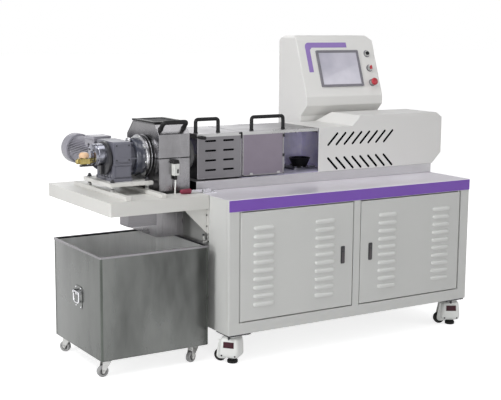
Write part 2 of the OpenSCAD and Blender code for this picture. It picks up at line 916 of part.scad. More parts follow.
// Control console: a column behind the housing with a head that leans out
con_x0 = x0 + con_x;
con_x1 = con_x0 + con_l;
con_clear = 6;
con_y0 = plin_y1 + con_clear;
con_y1 = con_y0 + con_col;
z_under = z_cov + con_under;
z_band0 = z_under + con_lean;
z_face0 = z_band0 + con_band;
z_face1 = z_face0 + con_face;
z_con = z_face1 + con_crown;
head_y = con_y0 - con_lean;
// Angle of the sloping face from upright
face_turn = atan(con_run / con_face);

module console_profile() {
  polygon([[con_y1, z_top], [con_y0, z_top], [con_y0, z_under], [head_y, z_band0], [head_y, z_face0],
           [head_y + con_run, z_face1], [head_y + con_run + con_bevel, z_con],
           [con_y1 - con_bevel, z_con], [con_y1, z_con - con_bevel]]);
}

module control_console() {
  color("whitesmoke") {
    intersection() {
      translate([con_x0, 0, 0]) rotate([90, 0, 90]) linear_extrude(con_l) console_profile();
      translate([0, con_y1 + over, 0]) rotate([90, 0, 0]) linear_extrude(con_col + con_lean + 2 * over)
        polygon([[con_x0, z_top - over], [con_x0, z_con - con_corner], [con_x0 + con_corner, z_con],
                 [con_x1 - con_bevel, z_con], [con_x1, z_con - con_bevel], [con_x1, z_top - over]]);
    }
    for (i = [0 : 2]) bezel(btn_up - i * btn_pitch);
  }
}

// Places a piece on the sloping face: x along it, z up it, y outwards is negative
module on_face(x, up) {
  translate([x, head_y, z_face0]) rotate([-face_turn, 0, 0]) translate([0, 0, up]) children();
}

scr_x = 105;
scr_up = 49;
btn_x = 430;
btn_up = 224;

module touch_screen() {
  color("dimgray") on_face(con_x0 + scr_x, scr_up)
    block([0, -scr_t, 0], [scr_w, 0, scr_h]);
}

// Controls: each sits in a bezel that is one with the console
cap_play = 0.05;
bezel_h = 8;
bezel_bore = 6;
// Room behind the buttons for their stroke
push_room = 3.5;
cap_r = 10;
cap_h = 14;
knob_h = 22;
knob_w = 9;
stop_neck_h = 18;
stop_cap_h = 14;

module bezel(up) {
  on_face(con_x0 + btn_x, up) difference() {
    rod_y([0, -bezel_h, 0], btn_r, bezel_h);
    rod_y([0, -bezel_h - over, 0], cap_r + cap_play, bezel_bore + over);
  }
}

module push_button() {
  color("dimgray") on_face(con_x0 + btn_x, btn_up)
    rod_y([0, -cap_h, 0], cap_r, cap_h - (bezel_h - bezel_bore) - push_room);
}

module selector_knob() {
  color("silver") on_face(con_x0 + btn_x, btn_up - btn_pitch) {
    rod_y([0, -cap_h, 0], cap_r, cap_h - (bezel_h - bezel_bore));
    block([-knob_w / 2, -knob_h, -cap_r], [knob_w / 2, -cap_h, cap_r]);
  }
}

module emergency_stop() {
  color("crimson") on_face(con_x0 + btn_x, btn_up - 2 * btn_pitch) {
    rod_y([0, -stop_neck_h, 0], cap_r, stop_neck_h - (bezel_h - bezel_bore) - push_room);
    rod_y([0, -stop_neck_h - stop_cap_h, 0], stop_r, stop_cap_h);
  }
}

// Cutting hood: fixed lower half and a lid hinged along the rear of the seam
z_hood0 = z_top + base_t;
z_hood1 = z_top + hood_h;
lid_z0 = z_axis + seam_gap;

module hood_base() {
  color("black") difference() {
    block([hood_x0 - over + seat, hood_y0 - base_over, z_top], [hood_x1, hood_y1 + base_over, z_hood0]);
    block([hood_x0 + hood_t, hood_y0 + hood_t, z_top - over],
          [hood_x1 - hood_t, hood_y1 - hood_t, z_hood0 + over]);
  }
}

module hood_port() {
  rod_x([hood_x0 - over, axis_y, z_axis], port_r, hood_l + 2 * over);
}

lid_pin_r = 4;
lid_knuckle_r = 8;
lid_y = hood_y1 + lid_knuckle_r + hinge_gap;
lid_z = z_axis;
lid_third = hood_l / 3;

module hood_lower() {
  color("silver") {
    difference() {
      block([hood_x0, hood_y0, z_hood0], [hood_x1, hood_y1, z_axis]);
      block([hood_x0 + hood_t, hood_y0 + hood_t, z_hood0 - over],
            [hood_x1 - hood_t, hood_y1 - hood_t, z_axis + over]);
      hood_port();
    }
    // Middle knuckle on its web, and the hinge pin
    rod_x([hood_x0 + lid_third, lid_y, lid_z], lid_knuckle_r, lid_third);
    block([hood_x0 + lid_third, hood_y1 - hood_t, z_axis - lid_knuckle_r],
          [hood_x0 + 2 * lid_third, lid_y, z_axis]);
    rod_x([hood_x0, lid_y, lid_z], lid_pin_r, hood_l);
  }
}

// Share of a wall by which an inner corner moves along a 45 degree bevel
bev_share = 0.4142;

module hood_profile(inset) {
  polygon([[hood_y0 + inset, z_axis - over], [hood_y0 + inset, z_hood1 - hood_bev - inset * bev_share],
           [hood_y0 + hood_bev + inset * bev_share, z_hood1 - inset],
           [hood_y1 - hood_slope - inset * bev_share, z_hood1 - inset],
           [hood_y1 - inset, z_hood1 - hood_slope - inset * bev_share], [hood_y1 - inset, z_axis - over]]);
}

module hood_lid() {
  color("silver") {
    difference() {
      translate([hood_x0, 0, 0]) rotate([90, 0, 90]) linear_extrude(hood_l) hood_profile(0);
      translate([hood_x0 + hood_t, 0, 0]) rotate([90, 0, 90]) linear_extrude(hood_l - 2 * hood_t)
        hood_profile(hood_t);
      block([hood_x0 - over, hood_y0 - over, z_axis - 2 * over], [hood_x1 + over, hood_y1 + over, lid_z0]);
      hood_port();
    }
    for (kx = [hood_x0, hood_x1 - lid_third + hinge_gap])
      difference() {
        union() {
          rod_x([kx, lid_y, lid_z], lid_knuckle_r, lid_third - hinge_gap);
          block([kx, hood_y1 - hood_t, lid_z0], [kx + lid_third - hinge_gap, lid_y, z_axis + lid_knuckle_r]);
        }
        rod_x([kx - over, lid_y, lid_z], lid_pin_r + turn_play, lid_third + 2 * over);
      }
    // Black window frame on top
    block([hood_x0 - over + seat, hood_y0 + hood_bev - over, z_hood1],
          [hood_x1 + over, hood_y1 - hood_slope + over, z_hood1 + window_t]);
  }
}

hgrip_l = 134;
hgrip_h = 64;
hgrip_r = 10;

module hood_handle() {
  color("black")
    translate([(hood_x0 + hood_x1) / 2, hood_y0 + hood_bev / 2, z_hood1 - hood_bev / 2])
      rotate([45, 0, 0]) bridge_handle(hgrip_l, hgrip_h, hgrip_r);
}

sw_x = 74;
sw_w = 28;
sw_d = 26;
sw_h = 52;
sw_head_h = 18;
sw_gland_r = 8;
sw_gland_l = 20;
sw_cable_r = 3.5;

module safety_switch() {
  z_sw = z_axis - sw_head_h - over;
  color("black")
    block([hood_x0 + sw_x - sw_w / 2, hood_y0 - sw_d, z_sw],
          [hood_x0 + sw_x + sw_w / 2, hood_y0, z_sw + sw_head_h]);
  color("whitesmoke")
    block([hood_x0 + sw_x - sw_w / 2, hood_y0 - sw_d, z_sw - sw_h], [hood_x0 + sw_x + sw_w / 2, hood_y0, z_sw]);
  color("black")
    rod_z([hood_x0 + sw_x, hood_y0 - sw_d / 2, z_sw - sw_h - sw_gland_l], sw_gland_r, sw_gland_l);
  color("white")
    rod_z([hood_x0 + sw_x, hood_y0 - sw_d / 2, z_hood0], sw_cable_r, z_sw - sw_h - sw_gland_l - z_hood0);
}

// Cutter drive
z_plate1 = z_axis - ring_r - ring_play;
z_plate0 = z_plate1 - plate_t;
ring_t = 30;
gear_x1 = hood_x0 - ring_gap - ring_t - neck_l;
gear_x0 = gear_x1 - gear_l;
gear_y0 = axis_y - gear_in;
gear_y1 = gear_y0 + gear_d;
stud_up = 16;
nut_r = 11;
nut_h = 9;

module drive_plate() {
  color("whitesmoke")
    block([plate_x0, plate_y0, z_plate0], [plate_x1, plate_y0 + plate_d, z_plate1]);
  // Levelling studs with their nuts
  color("darkgray")
    for (sx = [stud_x0, stud_x1], sy = [plate_y0 + stud_in, plate_y0 + plate_d - stud_in]) {
      rod_z([sx, sy, z_rail], stud_r, z_plate1 + stud_up - z_rail);
      for (nz = [z_rail, z_plate0 - nut_h, z_plate1])
        translate([sx, sy, nz]) cylinder(r = nut_r, h = nut_h, $fn = 6);
    }
}

module gear_unit() {
  color("slategray") {
    block([gear_x0, gear_y0, z_plate1], [gear_x1, gear_y1, z_plate1 + gear_h]);
    rod_x([gear_x1, axis_y, z_axis], neck_r, neck_l);
    rod_x([gear_x1 + neck_l - bell_l, axis_y, z_axis], bell_r, bell_l);
  }
}

// Flange between the drive and the hood, with the cutter's shaft and hub inside the hood
spigot_l = 14;
shaft_r = 20;
hub_r = 38;
hub_l = 34;

module shaft_flange() {
  color("silver") {
    rod_x([gear_x1 + neck_l, axis_y, z_axis], ring_r, ring_t);
    rod_x([hood_x0 - ring_gap, axis_y, z_axis], neck_r, spigot_l);
    rod_x([hood_x0 - ring_gap, axis_y, z_axis], shaft_r, hood_l);
    rod_x([hood_x1 - ring_gap - hub_l, axis_y, z_axis], hub_r, hub_l);
  }
}

// Disc, bright cylinder and brass valve on the left of the gear unit, with a black lever under them
valve_drop = 24;
cap_w_r = 22;
cap_w_h = 23;
arm_l = 110;
arm_w = 12;
arm_t = 7;
arm_leg = 40;

module side_valve() {
  disc_x = gear_x0 - disc_t;
  valve_x1 = disc_x - dome_l;
  z_valve = z_axis - valve_drop;
  color("dimgray") rod_x([disc_x, axis_y, z_axis], disc_r, disc_t);
  color("silver") rod_x([valve_x1, axis_y, z_axis + dome_rise], dome_r, dome_l);
  color("goldenrod") {
    block([valve_x1 - valve_l, axis_y - valve_d / 2, z_valve],
          [valve_x1 + over, axis_y + valve_d / 2, z_valve + valve_h]);
    rod_z([valve_x1 - valve_l / 2, axis_y, z_valve + valve_h], cap_w_r, cap_w_h);
  }
  color("black") {
    block([disc_x - arm_l, axis_y - arm_w, z_valve - arm_t], [disc_x, axis_y, z_valve]);
    block([disc_x - arm_w, axis_y - arm_w, z_valve - arm_t - arm_leg], [disc_x, axis_y, z_valve]);
  }
}

tbox_w = 94;
tbox_l = 96;
tbox_h = 40;

module motor() {
  gx = (gear_x0 + gear_x1) / 2;
  color("slategray") {
    rod_y([gx, gear_y1, z_axis], mflange_r, mflange_t);
    rod_y([gx, gear_y1 + mflange_t, z_axis], motor_r, motor_l);
    rod_y([gx, gear_y1 + mflange_t + motor_l, z_axis], fan_r, fan_l);
    block([gx - tbox_w / 2, gear_y1 + mflange_t + over, z_axis],
          [gx + tbox_w / 2, gear_y1 + mflange_t + over + tbox_l, z_axis + motor_r + tbox_h / 2]);
  }
}

// Bin
bin_x1 = x0 - bin_gap;
bin_x0 = bin_x1 - bin_l;
bin_y0 = y0 + bin_in;
bin_y1 = bin_y0 + bin_d;
bin_z1 = bin_lift + bin_h;
// Ring handle in the left side: backing plate, two ears and a ring that hangs from them
drop_share = 0.57;
drop_y_share = 0.46;
drop_z = bin_lift + bin_h * drop_share;
drop_y = bin_y0 + bin_d * drop_y_share;
ear_l = 10;
ear_d = 20;
ear_r = 9;
back_t = 2;
back_w = 75;
back_h = 100;
back_drop = 24;
drop_x = bin_x0 - back_t - ear_d / 2;
leg_y = drop_w / 2 - ring_wire;
ear_y = leg_y - ring_wire - hinge_gap - ear_l;

// Bin casters: a fork that swivels under the bin and a wheel that turns in it
bin_pivots = [[bin_x0 + bcas_in, bin_y0 + bcas_in], [bin_x1 - bcas_in, bin_y0 + bcas_in],
              [bin_x0 + bcas_in, bin_y1 - bcas_in], [bin_x1 - bcas_in, bin_y1 - bcas_in]];
// Direction in which each caster trails, in degrees from +X
bin_turns = [180, 200, 130, 60];
top_cap = 8;
cap_top_r = 24;
kingpin_r = 6;
kingpin_l = 6;
fork_t = 3;
fork_side = 2;
bcas_axle_r = 4;
z_fork = bin_lift - top_cap - hinge_gap;

module bin_body() {
  color("silver") {
    difference() {
      union() {
        block([bin_x0, bin_y0, bin_lift], [bin_x1, bin_y1, bin_z1]);
        // Rolled rim
        block([bin_x0 - rim_out, bin_y0 - rim_out, bin_z1 - rim_w],
              [bin_x1 + rim_out, bin_y1 + rim_out, bin_z1]);
      }
      block([bin_x0 + bin_t, bin_y0 + bin_t, bin_lift + bin_t],
            [bin_x1 - bin_t, bin_y1 - bin_t, bin_z1 + over]);
    }
    block([bin_x0 - back_t, drop_y - back_w / 2, drop_z - back_h / 2 - back_drop],
          [bin_x0, drop_y + back_w / 2, drop_z + back_h / 2 - back_drop]);
    both_y(drop_y) difference() {
      block([bin_x0 - back_t - ear_d, drop_y + ear_y, drop_z - ear_r],
            [bin_x0 - back_t, drop_y + ear_y + ear_l, drop_z + ear_r]);
      rod_y([drop_x, drop_y - over, drop_z], ring_wire + turn_play, drop_w);
    }
    for (p = bin_pivots)
      difference() {
        rod_z([p[0], p[1], bin_lift - top_cap], cap_top_r, top_cap);
        rod_z([p[0], p[1], bin_lift - top_cap - over], kingpin_r + turn_play, kingpin_l + over);
      }
  }
}

module bin_ring() {
  color("silver") {
    rod_y([drop_x, drop_y - leg_y, drop_z], ring_wire, 2 * leg_y);
    rod_y([drop_x, drop_y - leg_y, drop_z - drop_h], ring_wire, 2 * leg_y);
    for (s = [-1, 1])
      translate([drop_x, drop_y + s * leg_y, drop_z - drop_h]) {
        cylinder(r = ring_wire, h = drop_h);
        sphere(r = ring_wire);
        translate([0, 0, drop_h]) sphere(r = ring_wire);
      }
  }
}

module at_pivot(i) {
  translate([bin_pivots[i][0], bin_pivots[i][1], 0]) rotate([0, 0, bin_turns[i]]) children();
}

module fork(i) {
  reach = bcas_w / 2 + fork_side;
  color("silver") at_pivot(i) {
    difference() {
      block([-bcas_trail / 2, -reach - fork_t, bcas_r - 2 * bcas_axle_r],
            [bcas_trail + 2 * bcas_axle_r, reach + fork_t, z_fork]);
      block([-bcas_trail, -reach, 0], [2 * bcas_trail, reach, z_fork - fork_t]);
    }
    rod_z([0, 0, z_fork - fork_t], cap_top_r, fork_t);
    rod_z([0, 0, z_fork - fork_t], kingpin_r, fork_t + kingpin_l);
    rod_y([bcas_trail, -reach - fork_t, bcas_r], bcas_axle_r, 2 * (reach + fork_t));
  }
}

module wheel(i) {
  color("dimgray") at_pivot(i) difference() {
    rod_y([bcas_trail, -bcas_w / 2, bcas_r], bcas_r, bcas_w);
    rod_y([bcas_trail, -bcas_w, bcas_r], bcas_axle_r + turn_play, 2 * bcas_w);
  }
}

module bin_fork_1() { fork(0); }
module bin_fork_2() { fork(1); }
module bin_fork_3() { fork(2); }
module bin_fork_4() { fork(3); }
module bin_wheel_1() { wheel(0); }
module bin_wheel_2() { wheel(1); }
module bin_wheel_3() { wheel(2); }
module bin_wheel_4() { wheel(3); }

front_frame();
side_panels();
back_panel();
floor_panel();
colour_strip();
stainless_top();
plinth();
left_door();
right_door();
levelling_casters();
levelling_feet();
side_table();
table_brackets();
outlet_chute();
toggle_clamp();
rear_cover_panel();
slotted_cover();
slotted_cover_handle();
plain_cover();
plain_cover_handle();
barrel();
die_flange();
support_plate();
feed_funnel();
drive_housing();
control_console();
touch_screen();
push_button();
selector_knob();
emergency_stop();
hood_base();
hood_lower();
hood_lid();
hood_handle();
safety_switch();
drive_plate();
gear_unit();
shaft_flange();
side_valve();
motor();
bin_body();
bin_ring();
bin_fork_1();
bin_fork_2();
bin_fork_3();
bin_fork_4();
bin_wheel_1();
bin_wheel_2();
bin_wheel_3();
bin_wheel_4();
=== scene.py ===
"""Bench extruder line: looks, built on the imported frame.

Lengths are in millimetres of the row frame (origin under the front left foot) until a piece becomes a mesh.
"""
from math import atan, cos, pi, radians, sin, sqrt

import bpy
import bmesh
from mathutils import Matrix, Vector
from mathutils.geometry import delaunay_2d_cdt


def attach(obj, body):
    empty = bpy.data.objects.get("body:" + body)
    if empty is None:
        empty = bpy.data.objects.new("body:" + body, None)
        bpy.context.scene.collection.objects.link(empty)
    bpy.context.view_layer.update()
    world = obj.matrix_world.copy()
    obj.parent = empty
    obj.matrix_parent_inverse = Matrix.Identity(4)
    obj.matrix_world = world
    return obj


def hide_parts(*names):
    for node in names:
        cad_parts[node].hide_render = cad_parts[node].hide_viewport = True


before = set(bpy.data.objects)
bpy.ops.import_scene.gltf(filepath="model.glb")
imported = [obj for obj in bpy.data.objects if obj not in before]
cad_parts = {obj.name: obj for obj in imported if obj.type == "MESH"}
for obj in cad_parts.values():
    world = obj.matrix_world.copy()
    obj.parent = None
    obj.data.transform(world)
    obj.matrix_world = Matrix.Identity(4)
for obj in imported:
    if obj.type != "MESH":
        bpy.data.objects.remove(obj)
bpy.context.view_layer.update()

MM = 0.001

# Levels and corners of the CAD model
X0, X1 = -51, 1329
Y0, Y1 = -51, 809
Z_FOOT, Z_BODY, Z_TOP, Z_PLINTH, Z_COVER, Z_HOUSING = 137, 737, 740, 785, 998, 1047
AXIS_Y, AXIS_Z = 399, 896
PLINTH_Y0, PLINTH_Y1 = 239, 559
MID_X = 639


# The body that each moving node rides on; the rest stand on the machine
BODY = {"bin_body": "bin", "slotted_cover_handle": "slotted_cover", "plain_cover_handle": "plain_cover",
        "hood_handle": "hood_lid"}
BODY.update((n, n) for n in ("left_door", "right_door", "slotted_cover", "plain_cover", "hood_lid",
                             "push_button",
                             "selector_knob", "emergency_stop", "bin_ring"))
BODY.update((n + str(i), n + str(i)) for n in ("bin_fork_", "bin_wheel_") for i in range(1, 5))


# Materials

def node_tree(name):
    mat = bpy.data.materials.new(name)
    mat.use_nodes = True
    nodes, links = mat.node_tree.nodes, mat.node_tree.links
    return mat, nodes, links, nodes["Principled BSDF"]


def new_node(nodes, kind, **values):
    """Adds a shader node and sets its inputs; an underscore stands for a space."""
    node = nodes.new("ShaderNode" + kind)
    for key, value in values.items():
        node.inputs[key.replace("_", " ")].default_value = value
    return node


def noise(nodes, links, scale, detail=4.0, stretch=(1, 1, 1), rough=0.55):
    """A noise in object space, stretched along the axes; returns its factor socket."""
    coord = new_node(nodes, "TexCoord")
    mapping = new_node(nodes, "Mapping", Scale=stretch)
    tex = new_node(nodes, "TexNoise", Scale=scale, Detail=detail, Roughness=rough)
    links.new(coord.outputs["Object"], mapping.inputs["Vector"])
    links.new(mapping.outputs["Vector"], tex.inputs["Vector"])
    return tex.outputs["Fac"]


def ramp(nodes, links, fac, stops):
    """A colour ramp over a factor; returns its colour socket."""
    r = new_node(nodes, "ValToRGB")
    el = r.color_ramp.elements
    el[0].position, el[0].color = stops[0][0], (*stops[0][1], 1)
    el[1].position, el[1].color = stops[-1][0], (*stops[-1][1], 1)
    for pos, col in stops[1:-1]:
        e = el.new(pos)
        e.color = (*col, 1)
    links.new(fac, r.inputs["Fac"])
    return r.outputs["Color"]


def grey_ramp(nodes, links, fac, lo, hi, low_at=0.3, high_at=0.7):
    """Maps a factor to a range of values; returns its socket."""
    r = new_node(nodes, "MapRange", From_Min=low_at, From_Max=high_at, To_Min=lo, To_Max=hi)
    links.new(fac, r.inputs["Value"])
    return r.outputs["Result"]


def bump(nodes, links, bsdf, fac, strength, distance):
    """Bumps the surface by a factor."""
    b = new_node(nodes, "Bump", Strength=strength, Distance=distance)
    links.new(fac, b.inputs["Height"])
    links.new(b.outputs["Normal"], bsdf.inputs["Normal"])


def tint(c, k):
    """A colour made lighter or darker."""
    return tuple(min(1.0, v * k) for v in c)


def paint(name, col, rough=0.35, spread=0.02, grain=220, coat=0.12):
    """Powder coat: fine orange peel, faint broad clouds and a little rubbing."""
    mat, n, l, b = node_tree(name)
    broad = noise(n, l, 3.0, 3)
    l.new(ramp(n, l, broad, [(0.25, tint(col, 1 - spread)), (0.5, col), (0.8, tint(col, 1 + spread / 2))]),
          b.inputs["Base Color"])
    l.new(grey_ramp(n, l, noise(n, l, 14, 5), rough - 0.06, rough + 0.08), b.inputs["Roughness"])
    bump(n, l, b, noise(n, l, grain, 2), 0.03, 0.0003)
    b.inputs["Coat Weight"].default_value = coat
    b.inputs["Coat Roughness"].default_value = 0.25
    return mat


def steel(name, col, rough=0.3, stretch=(1, 1, 40), spread=0.12, clouds=0.16, metal=1.0, drift=(1, 1, 1),
          size=4.5):
    """Brushed sheet: hairlines along one axis over broad cloudy patches of tone, which drift along the axes;
    on the hood and the bin, strong clouds are painted highlights and reflections.
    """
    mat, n, l, b = node_tree(name)
    hair = noise(n, l, 18, 6, stretch, 0.7)
    cloud = noise(n, l, size, 4, drift, 0.6)
    mix = n.new("ShaderNodeMix")
    mix.data_type = "RGBA"
    mix.blend_type = "MULTIPLY"
    mix.inputs["Factor"].default_value = 1.0
    l.new(ramp(n, l, hair, [(0.3, tint(col, 1 - spread)), (0.5, col), (0.72, tint(col, 1 + spread))]),
          mix.inputs["A"])
    l.new(ramp(n, l, cloud, [(0.3, (1 - clouds,) * 3), (0.55, (1, 1, 1)), (0.75, (1 + clouds / 2,) * 3)]),
          mix.inputs["B"])
    l.new(mix.outputs["Result"], b.inputs["Base Color"])
    l.new(grey_ramp(n, l, cloud, rough - 0.08, rough + 0.12), b.inputs["Roughness"])
    bump(n, l, b, hair, 0.05, 0.0003)
    b.inputs["Metallic"].default_value = metal
    return mat


def plastic(name, col, rough=0.4, spread=0.25, grain=500, sheen=0.5):
    """Moulded plastic or rubber: soft mottling and a fine grain."""
    mat, n, l, b = node_tree(name)
    l.new(ramp(n, l, noise(n, l, 30, 4), [(0.3, tint(col, 1 - spread)), (0.7, tint(col, 1 + spread))]),
          b.inputs["Base Color"])
    l.new(grey_ramp(n, l, noise(n, l, 60, 3), rough - 0.07, rough + 0.1), b.inputs["Roughness"])
    bump(n, l, b, noise(n, l, grain, 2), 0.1, 0.0003)
    b.inputs["Specular IOR Level"].default_value = sheen
    return mat


WHITE = paint("white_powder_coat", (0.70, 0.695, 0.68))
GREY_WHITE = paint("cabinet_powder_coat", (0.585, 0.59, 0.575))
# a paler copy of the cabinet's paint on the pressed louvres: painted highlight
LOUVRE_PAINTED_HIGHLIGHT = paint("louvre_painted_highlight_coat", (0.66, 0.665, 0.65))
TABLE_WHITE = paint("table_enamel", (0.63, 0.625, 0.60), rough=0.38)
VIOLET = paint("violet_strip_paint", (0.165, 0.058, 0.41), rough=0.4, spread=0.1)
VIOLET_FILM = paint("violet_stripe_film", (0.26, 0.165, 0.46), rough=0.35, spread=0.08)
CAST_WHITE = paint("caster_casting", (0.74, 0.75, 0.73), rough=0.4, grain=160)
ENAMEL = paint("gear_enamel", (0.127, 0.128, 0.158), rough=0.38, spread=0.14, grain=160)
ENAMEL_PALE = paint("motor_enamel", (0.28, 0.275, 0.312), rough=0.4, spread=0.12, grain=160)
MOTOR_CORE = paint("motor_core_enamel", (0.045, 0.045, 0.06), rough=0.45, spread=0.2)
FIN_PALE = paint("motor_fin_enamel", (0.40, 0.39, 0.445), rough=0.35, spread=0.12)
DARK_PAINT = paint("dark_steel_paint", (0.022, 0.022, 0.026), rough=0.4, spread=0.3, coat=0.02)
BELL_PAINT = paint("bell_gloss_paint", (0.06, 0.065, 0.09), rough=0.18, spread=0.3, coat=0.6)
TOP_STEEL = steel("worktop_stainless", (0.76, 0.735, 0.79), rough=0.36, stretch=(1, 12, 12), spread=0.03,
                  clouds=0.08, metal=0.5)
PLINTH_STEEL = steel("plinth_stainless", (0.44, 0.432, 0.448), rough=0.36, stretch=(1, 12, 12), spread=0.04,
                     clouds=0.1, metal=0.8)
COVER_STEEL = steel("cover_stainless", (0.25, 0.243, 0.255), rough=0.34, stretch=(1, 1, 30))
COVER_FRONT = steel("cover_front_stainless", (0.175, 0.17, 0.18), rough=0.3, stretch=(1, 1, 30), spread=0.05,
                    clouds=0.2, drift=(1, 1, 0.4))
LIP_STEEL = steel("folded_lip_stainless", (0.42, 0.42, 0.42), rough=0.3, stretch=(1, 1, 30))
PANEL_STEEL = steel("mauve_tinted_panel", (0.205, 0.18, 0.217), rough=0.4, stretch=(1, 1, 1), spread=0.03,
                    clouds=0.1, drift=(1, 1, 0.4), size=3)
# the sheet's lavender tint, made very pale as painted light in the shaded niche
NICHE_PAINTED_LIGHT = steel("lavender_niche_painted_light", (0.82, 0.79, 1.0), rough=0.4, stretch=(1, 1, 1), metal=0.1,
                    drift=(1, 1, 0.3), clouds=0.3)
# strong broad clouds on the hood's steel: painted highlights
HOOD_STEEL = steel("hood_stainless", (0.285, 0.28, 0.29), rough=0.24, stretch=(1, 40, 40), spread=0.06,
                   clouds=0.42, drift=(1, 1, 0.5), size=5.5)
# strong vertical clouds on the bin's steel: painted reflection bands, lighter and darker across the walls
BIN_STEEL = steel("bin_stainless", (0.150, 0.155, 0.150), rough=0.24, stretch=(26, 26, 1), spread=0.06,
                  clouds=0.6, drift=(1, 1, 0.35), size=3.2)
# a much paler copy of the bin's steel for its inner walls and floor: painted light inside the bin
BIN_INNER_PAINTED_LIGHT = steel("bin_inner_painted_light", (0.74, 0.745, 0.74), rough=0.4, stretch=(26, 26, 1), spread=0.06,
                  clouds=0.3, metal=0.45, drift=(1, 1, 0.35), size=3.2)
# dark steel for the bin's rounded corners: painted shade
FOLD_PAINTED_SHADE = steel("bin_fold_painted_shade", (0.10, 0.11, 0.10), rough=0.3, stretch=(26, 26, 1), clouds=0.3)
CHUTE_STEEL = steel("chute_stainless", (0.36, 0.35, 0.365), rough=0.26, stretch=(20, 20, 1), clouds=0.45,
                    metal=0.75, drift=(1, 1, 0.4))
BRIGHT = steel("turned_bright_steel", (0.66, 0.66, 0.68), rough=0.14, stretch=(60, 1, 1), spread=0.06,
               clouds=0.08)
ZINC = steel("zinc_plate", (0.48, 0.48, 0.47), rough=0.28, stretch=(1, 1, 6), spread=0.12)
BARREL_STEEL = steel("barrel_ground_steel", (0.30, 0.30, 0.33), rough=0.4, stretch=(1, 30, 1))
# a pale steel for the die ring, which sits in shade: painted reflection
DIE_PAINTED_REFLECTION = steel("die_ring_painted_reflection", (0.80, 0.80, 0.82), rough=0.3, stretch=(60, 1, 1), spread=0.05,
                  clouds=0.1, metal=0.6)
DRUM_STEEL = steel("drum_steel", (0.34, 0.345, 0.40), rough=0.2, stretch=(30, 1, 1), spread=0.2, clouds=0.5,
                   size=22)
BRASS = steel("turned_brass", (0.42, 0.34, 0.13), rough=0.3, stretch=(30, 1, 1), spread=0.15, clouds=0.3,
              size=20)
CREAM = plastic("cream_moulding", (0.66, 0.44, 0.27), rough=0.45, spread=0.12)
BLACK = plastic("black_moulding", (0.009, 0.009, 0.010), rough=0.42, sheen=0.22)
# matte black for sheets put where there is only shade: painted shade behind slots and in the plinth's open
# end
PAINTED_SHADE_BLACK = plastic("painted_shade_black", (0.004, 0.004, 0.005), rough=0.8, sheen=0.02)
RUBBER = plastic("black_rubber", (0.010, 0.010, 0.010), rough=0.6, grain=300, sheen=0.2)
LABEL = plastic("dark_red_blank_plate", (0.040, 0.006, 0.012), rough=0.4, spread=0.3, sheen=0.25)
SCREEN_FRAME = plastic("screen_frame_moulding", (0.17, 0.165, 0.19), rough=0.4, spread=0.1)
SWITCH_GREY = plastic("pale_grey_moulding", (0.62, 0.63, 0.61), rough=0.45, spread=0.1)
RED = plastic("red_moulding", (0.42, 0.02, 0.035), rough=0.3, spread=0.15)
GRIP_RED = plastic("red_vinyl_grip", (0.19, 0.012, 0.038), rough=0.5, spread=0.2)
WHEEL_GREY = plastic("pale_wheel_nylon", (0.13, 0.13, 0.13), rough=0.35, spread=0.2)
TREAD_GREY = plastic("pale_wheel_tread", (0.36, 0.36, 0.36), rough=0.45, spread=0.12)
CABLE_WHITE = plastic("white_cable_jacket", (0.72, 0.72, 0.70), rough=0.5, spread=0.08)


def display():
    """Pale screen glass, lighter towards the middle."""
    mat, n, l, b = node_tree("screen_glass")
    fac = noise(n, l, 5, 3)
    l.new(ramp(n, l, fac, [(0.3, (0.42, 0.41, 0.49)), (0.7, (0.60, 0.585, 0.66))]), b.inputs["Base Color"])
    l.new(grey_ramp(n, l, fac, 0.08, 0.2), b.inputs["Roughness"])
    b.inputs["Coat Weight"].default_value = 0.6
    return mat


SCREEN_GLASS = display()
SMOKED = plastic("smoked_window_pane", (0.03, 0.03, 0.033), rough=0.75, spread=0.3)
LATCH_GREY = plastic("dark_latch_lever", (0.045, 0.038, 0.042), rough=0.4, spread=0.3)


# Solids

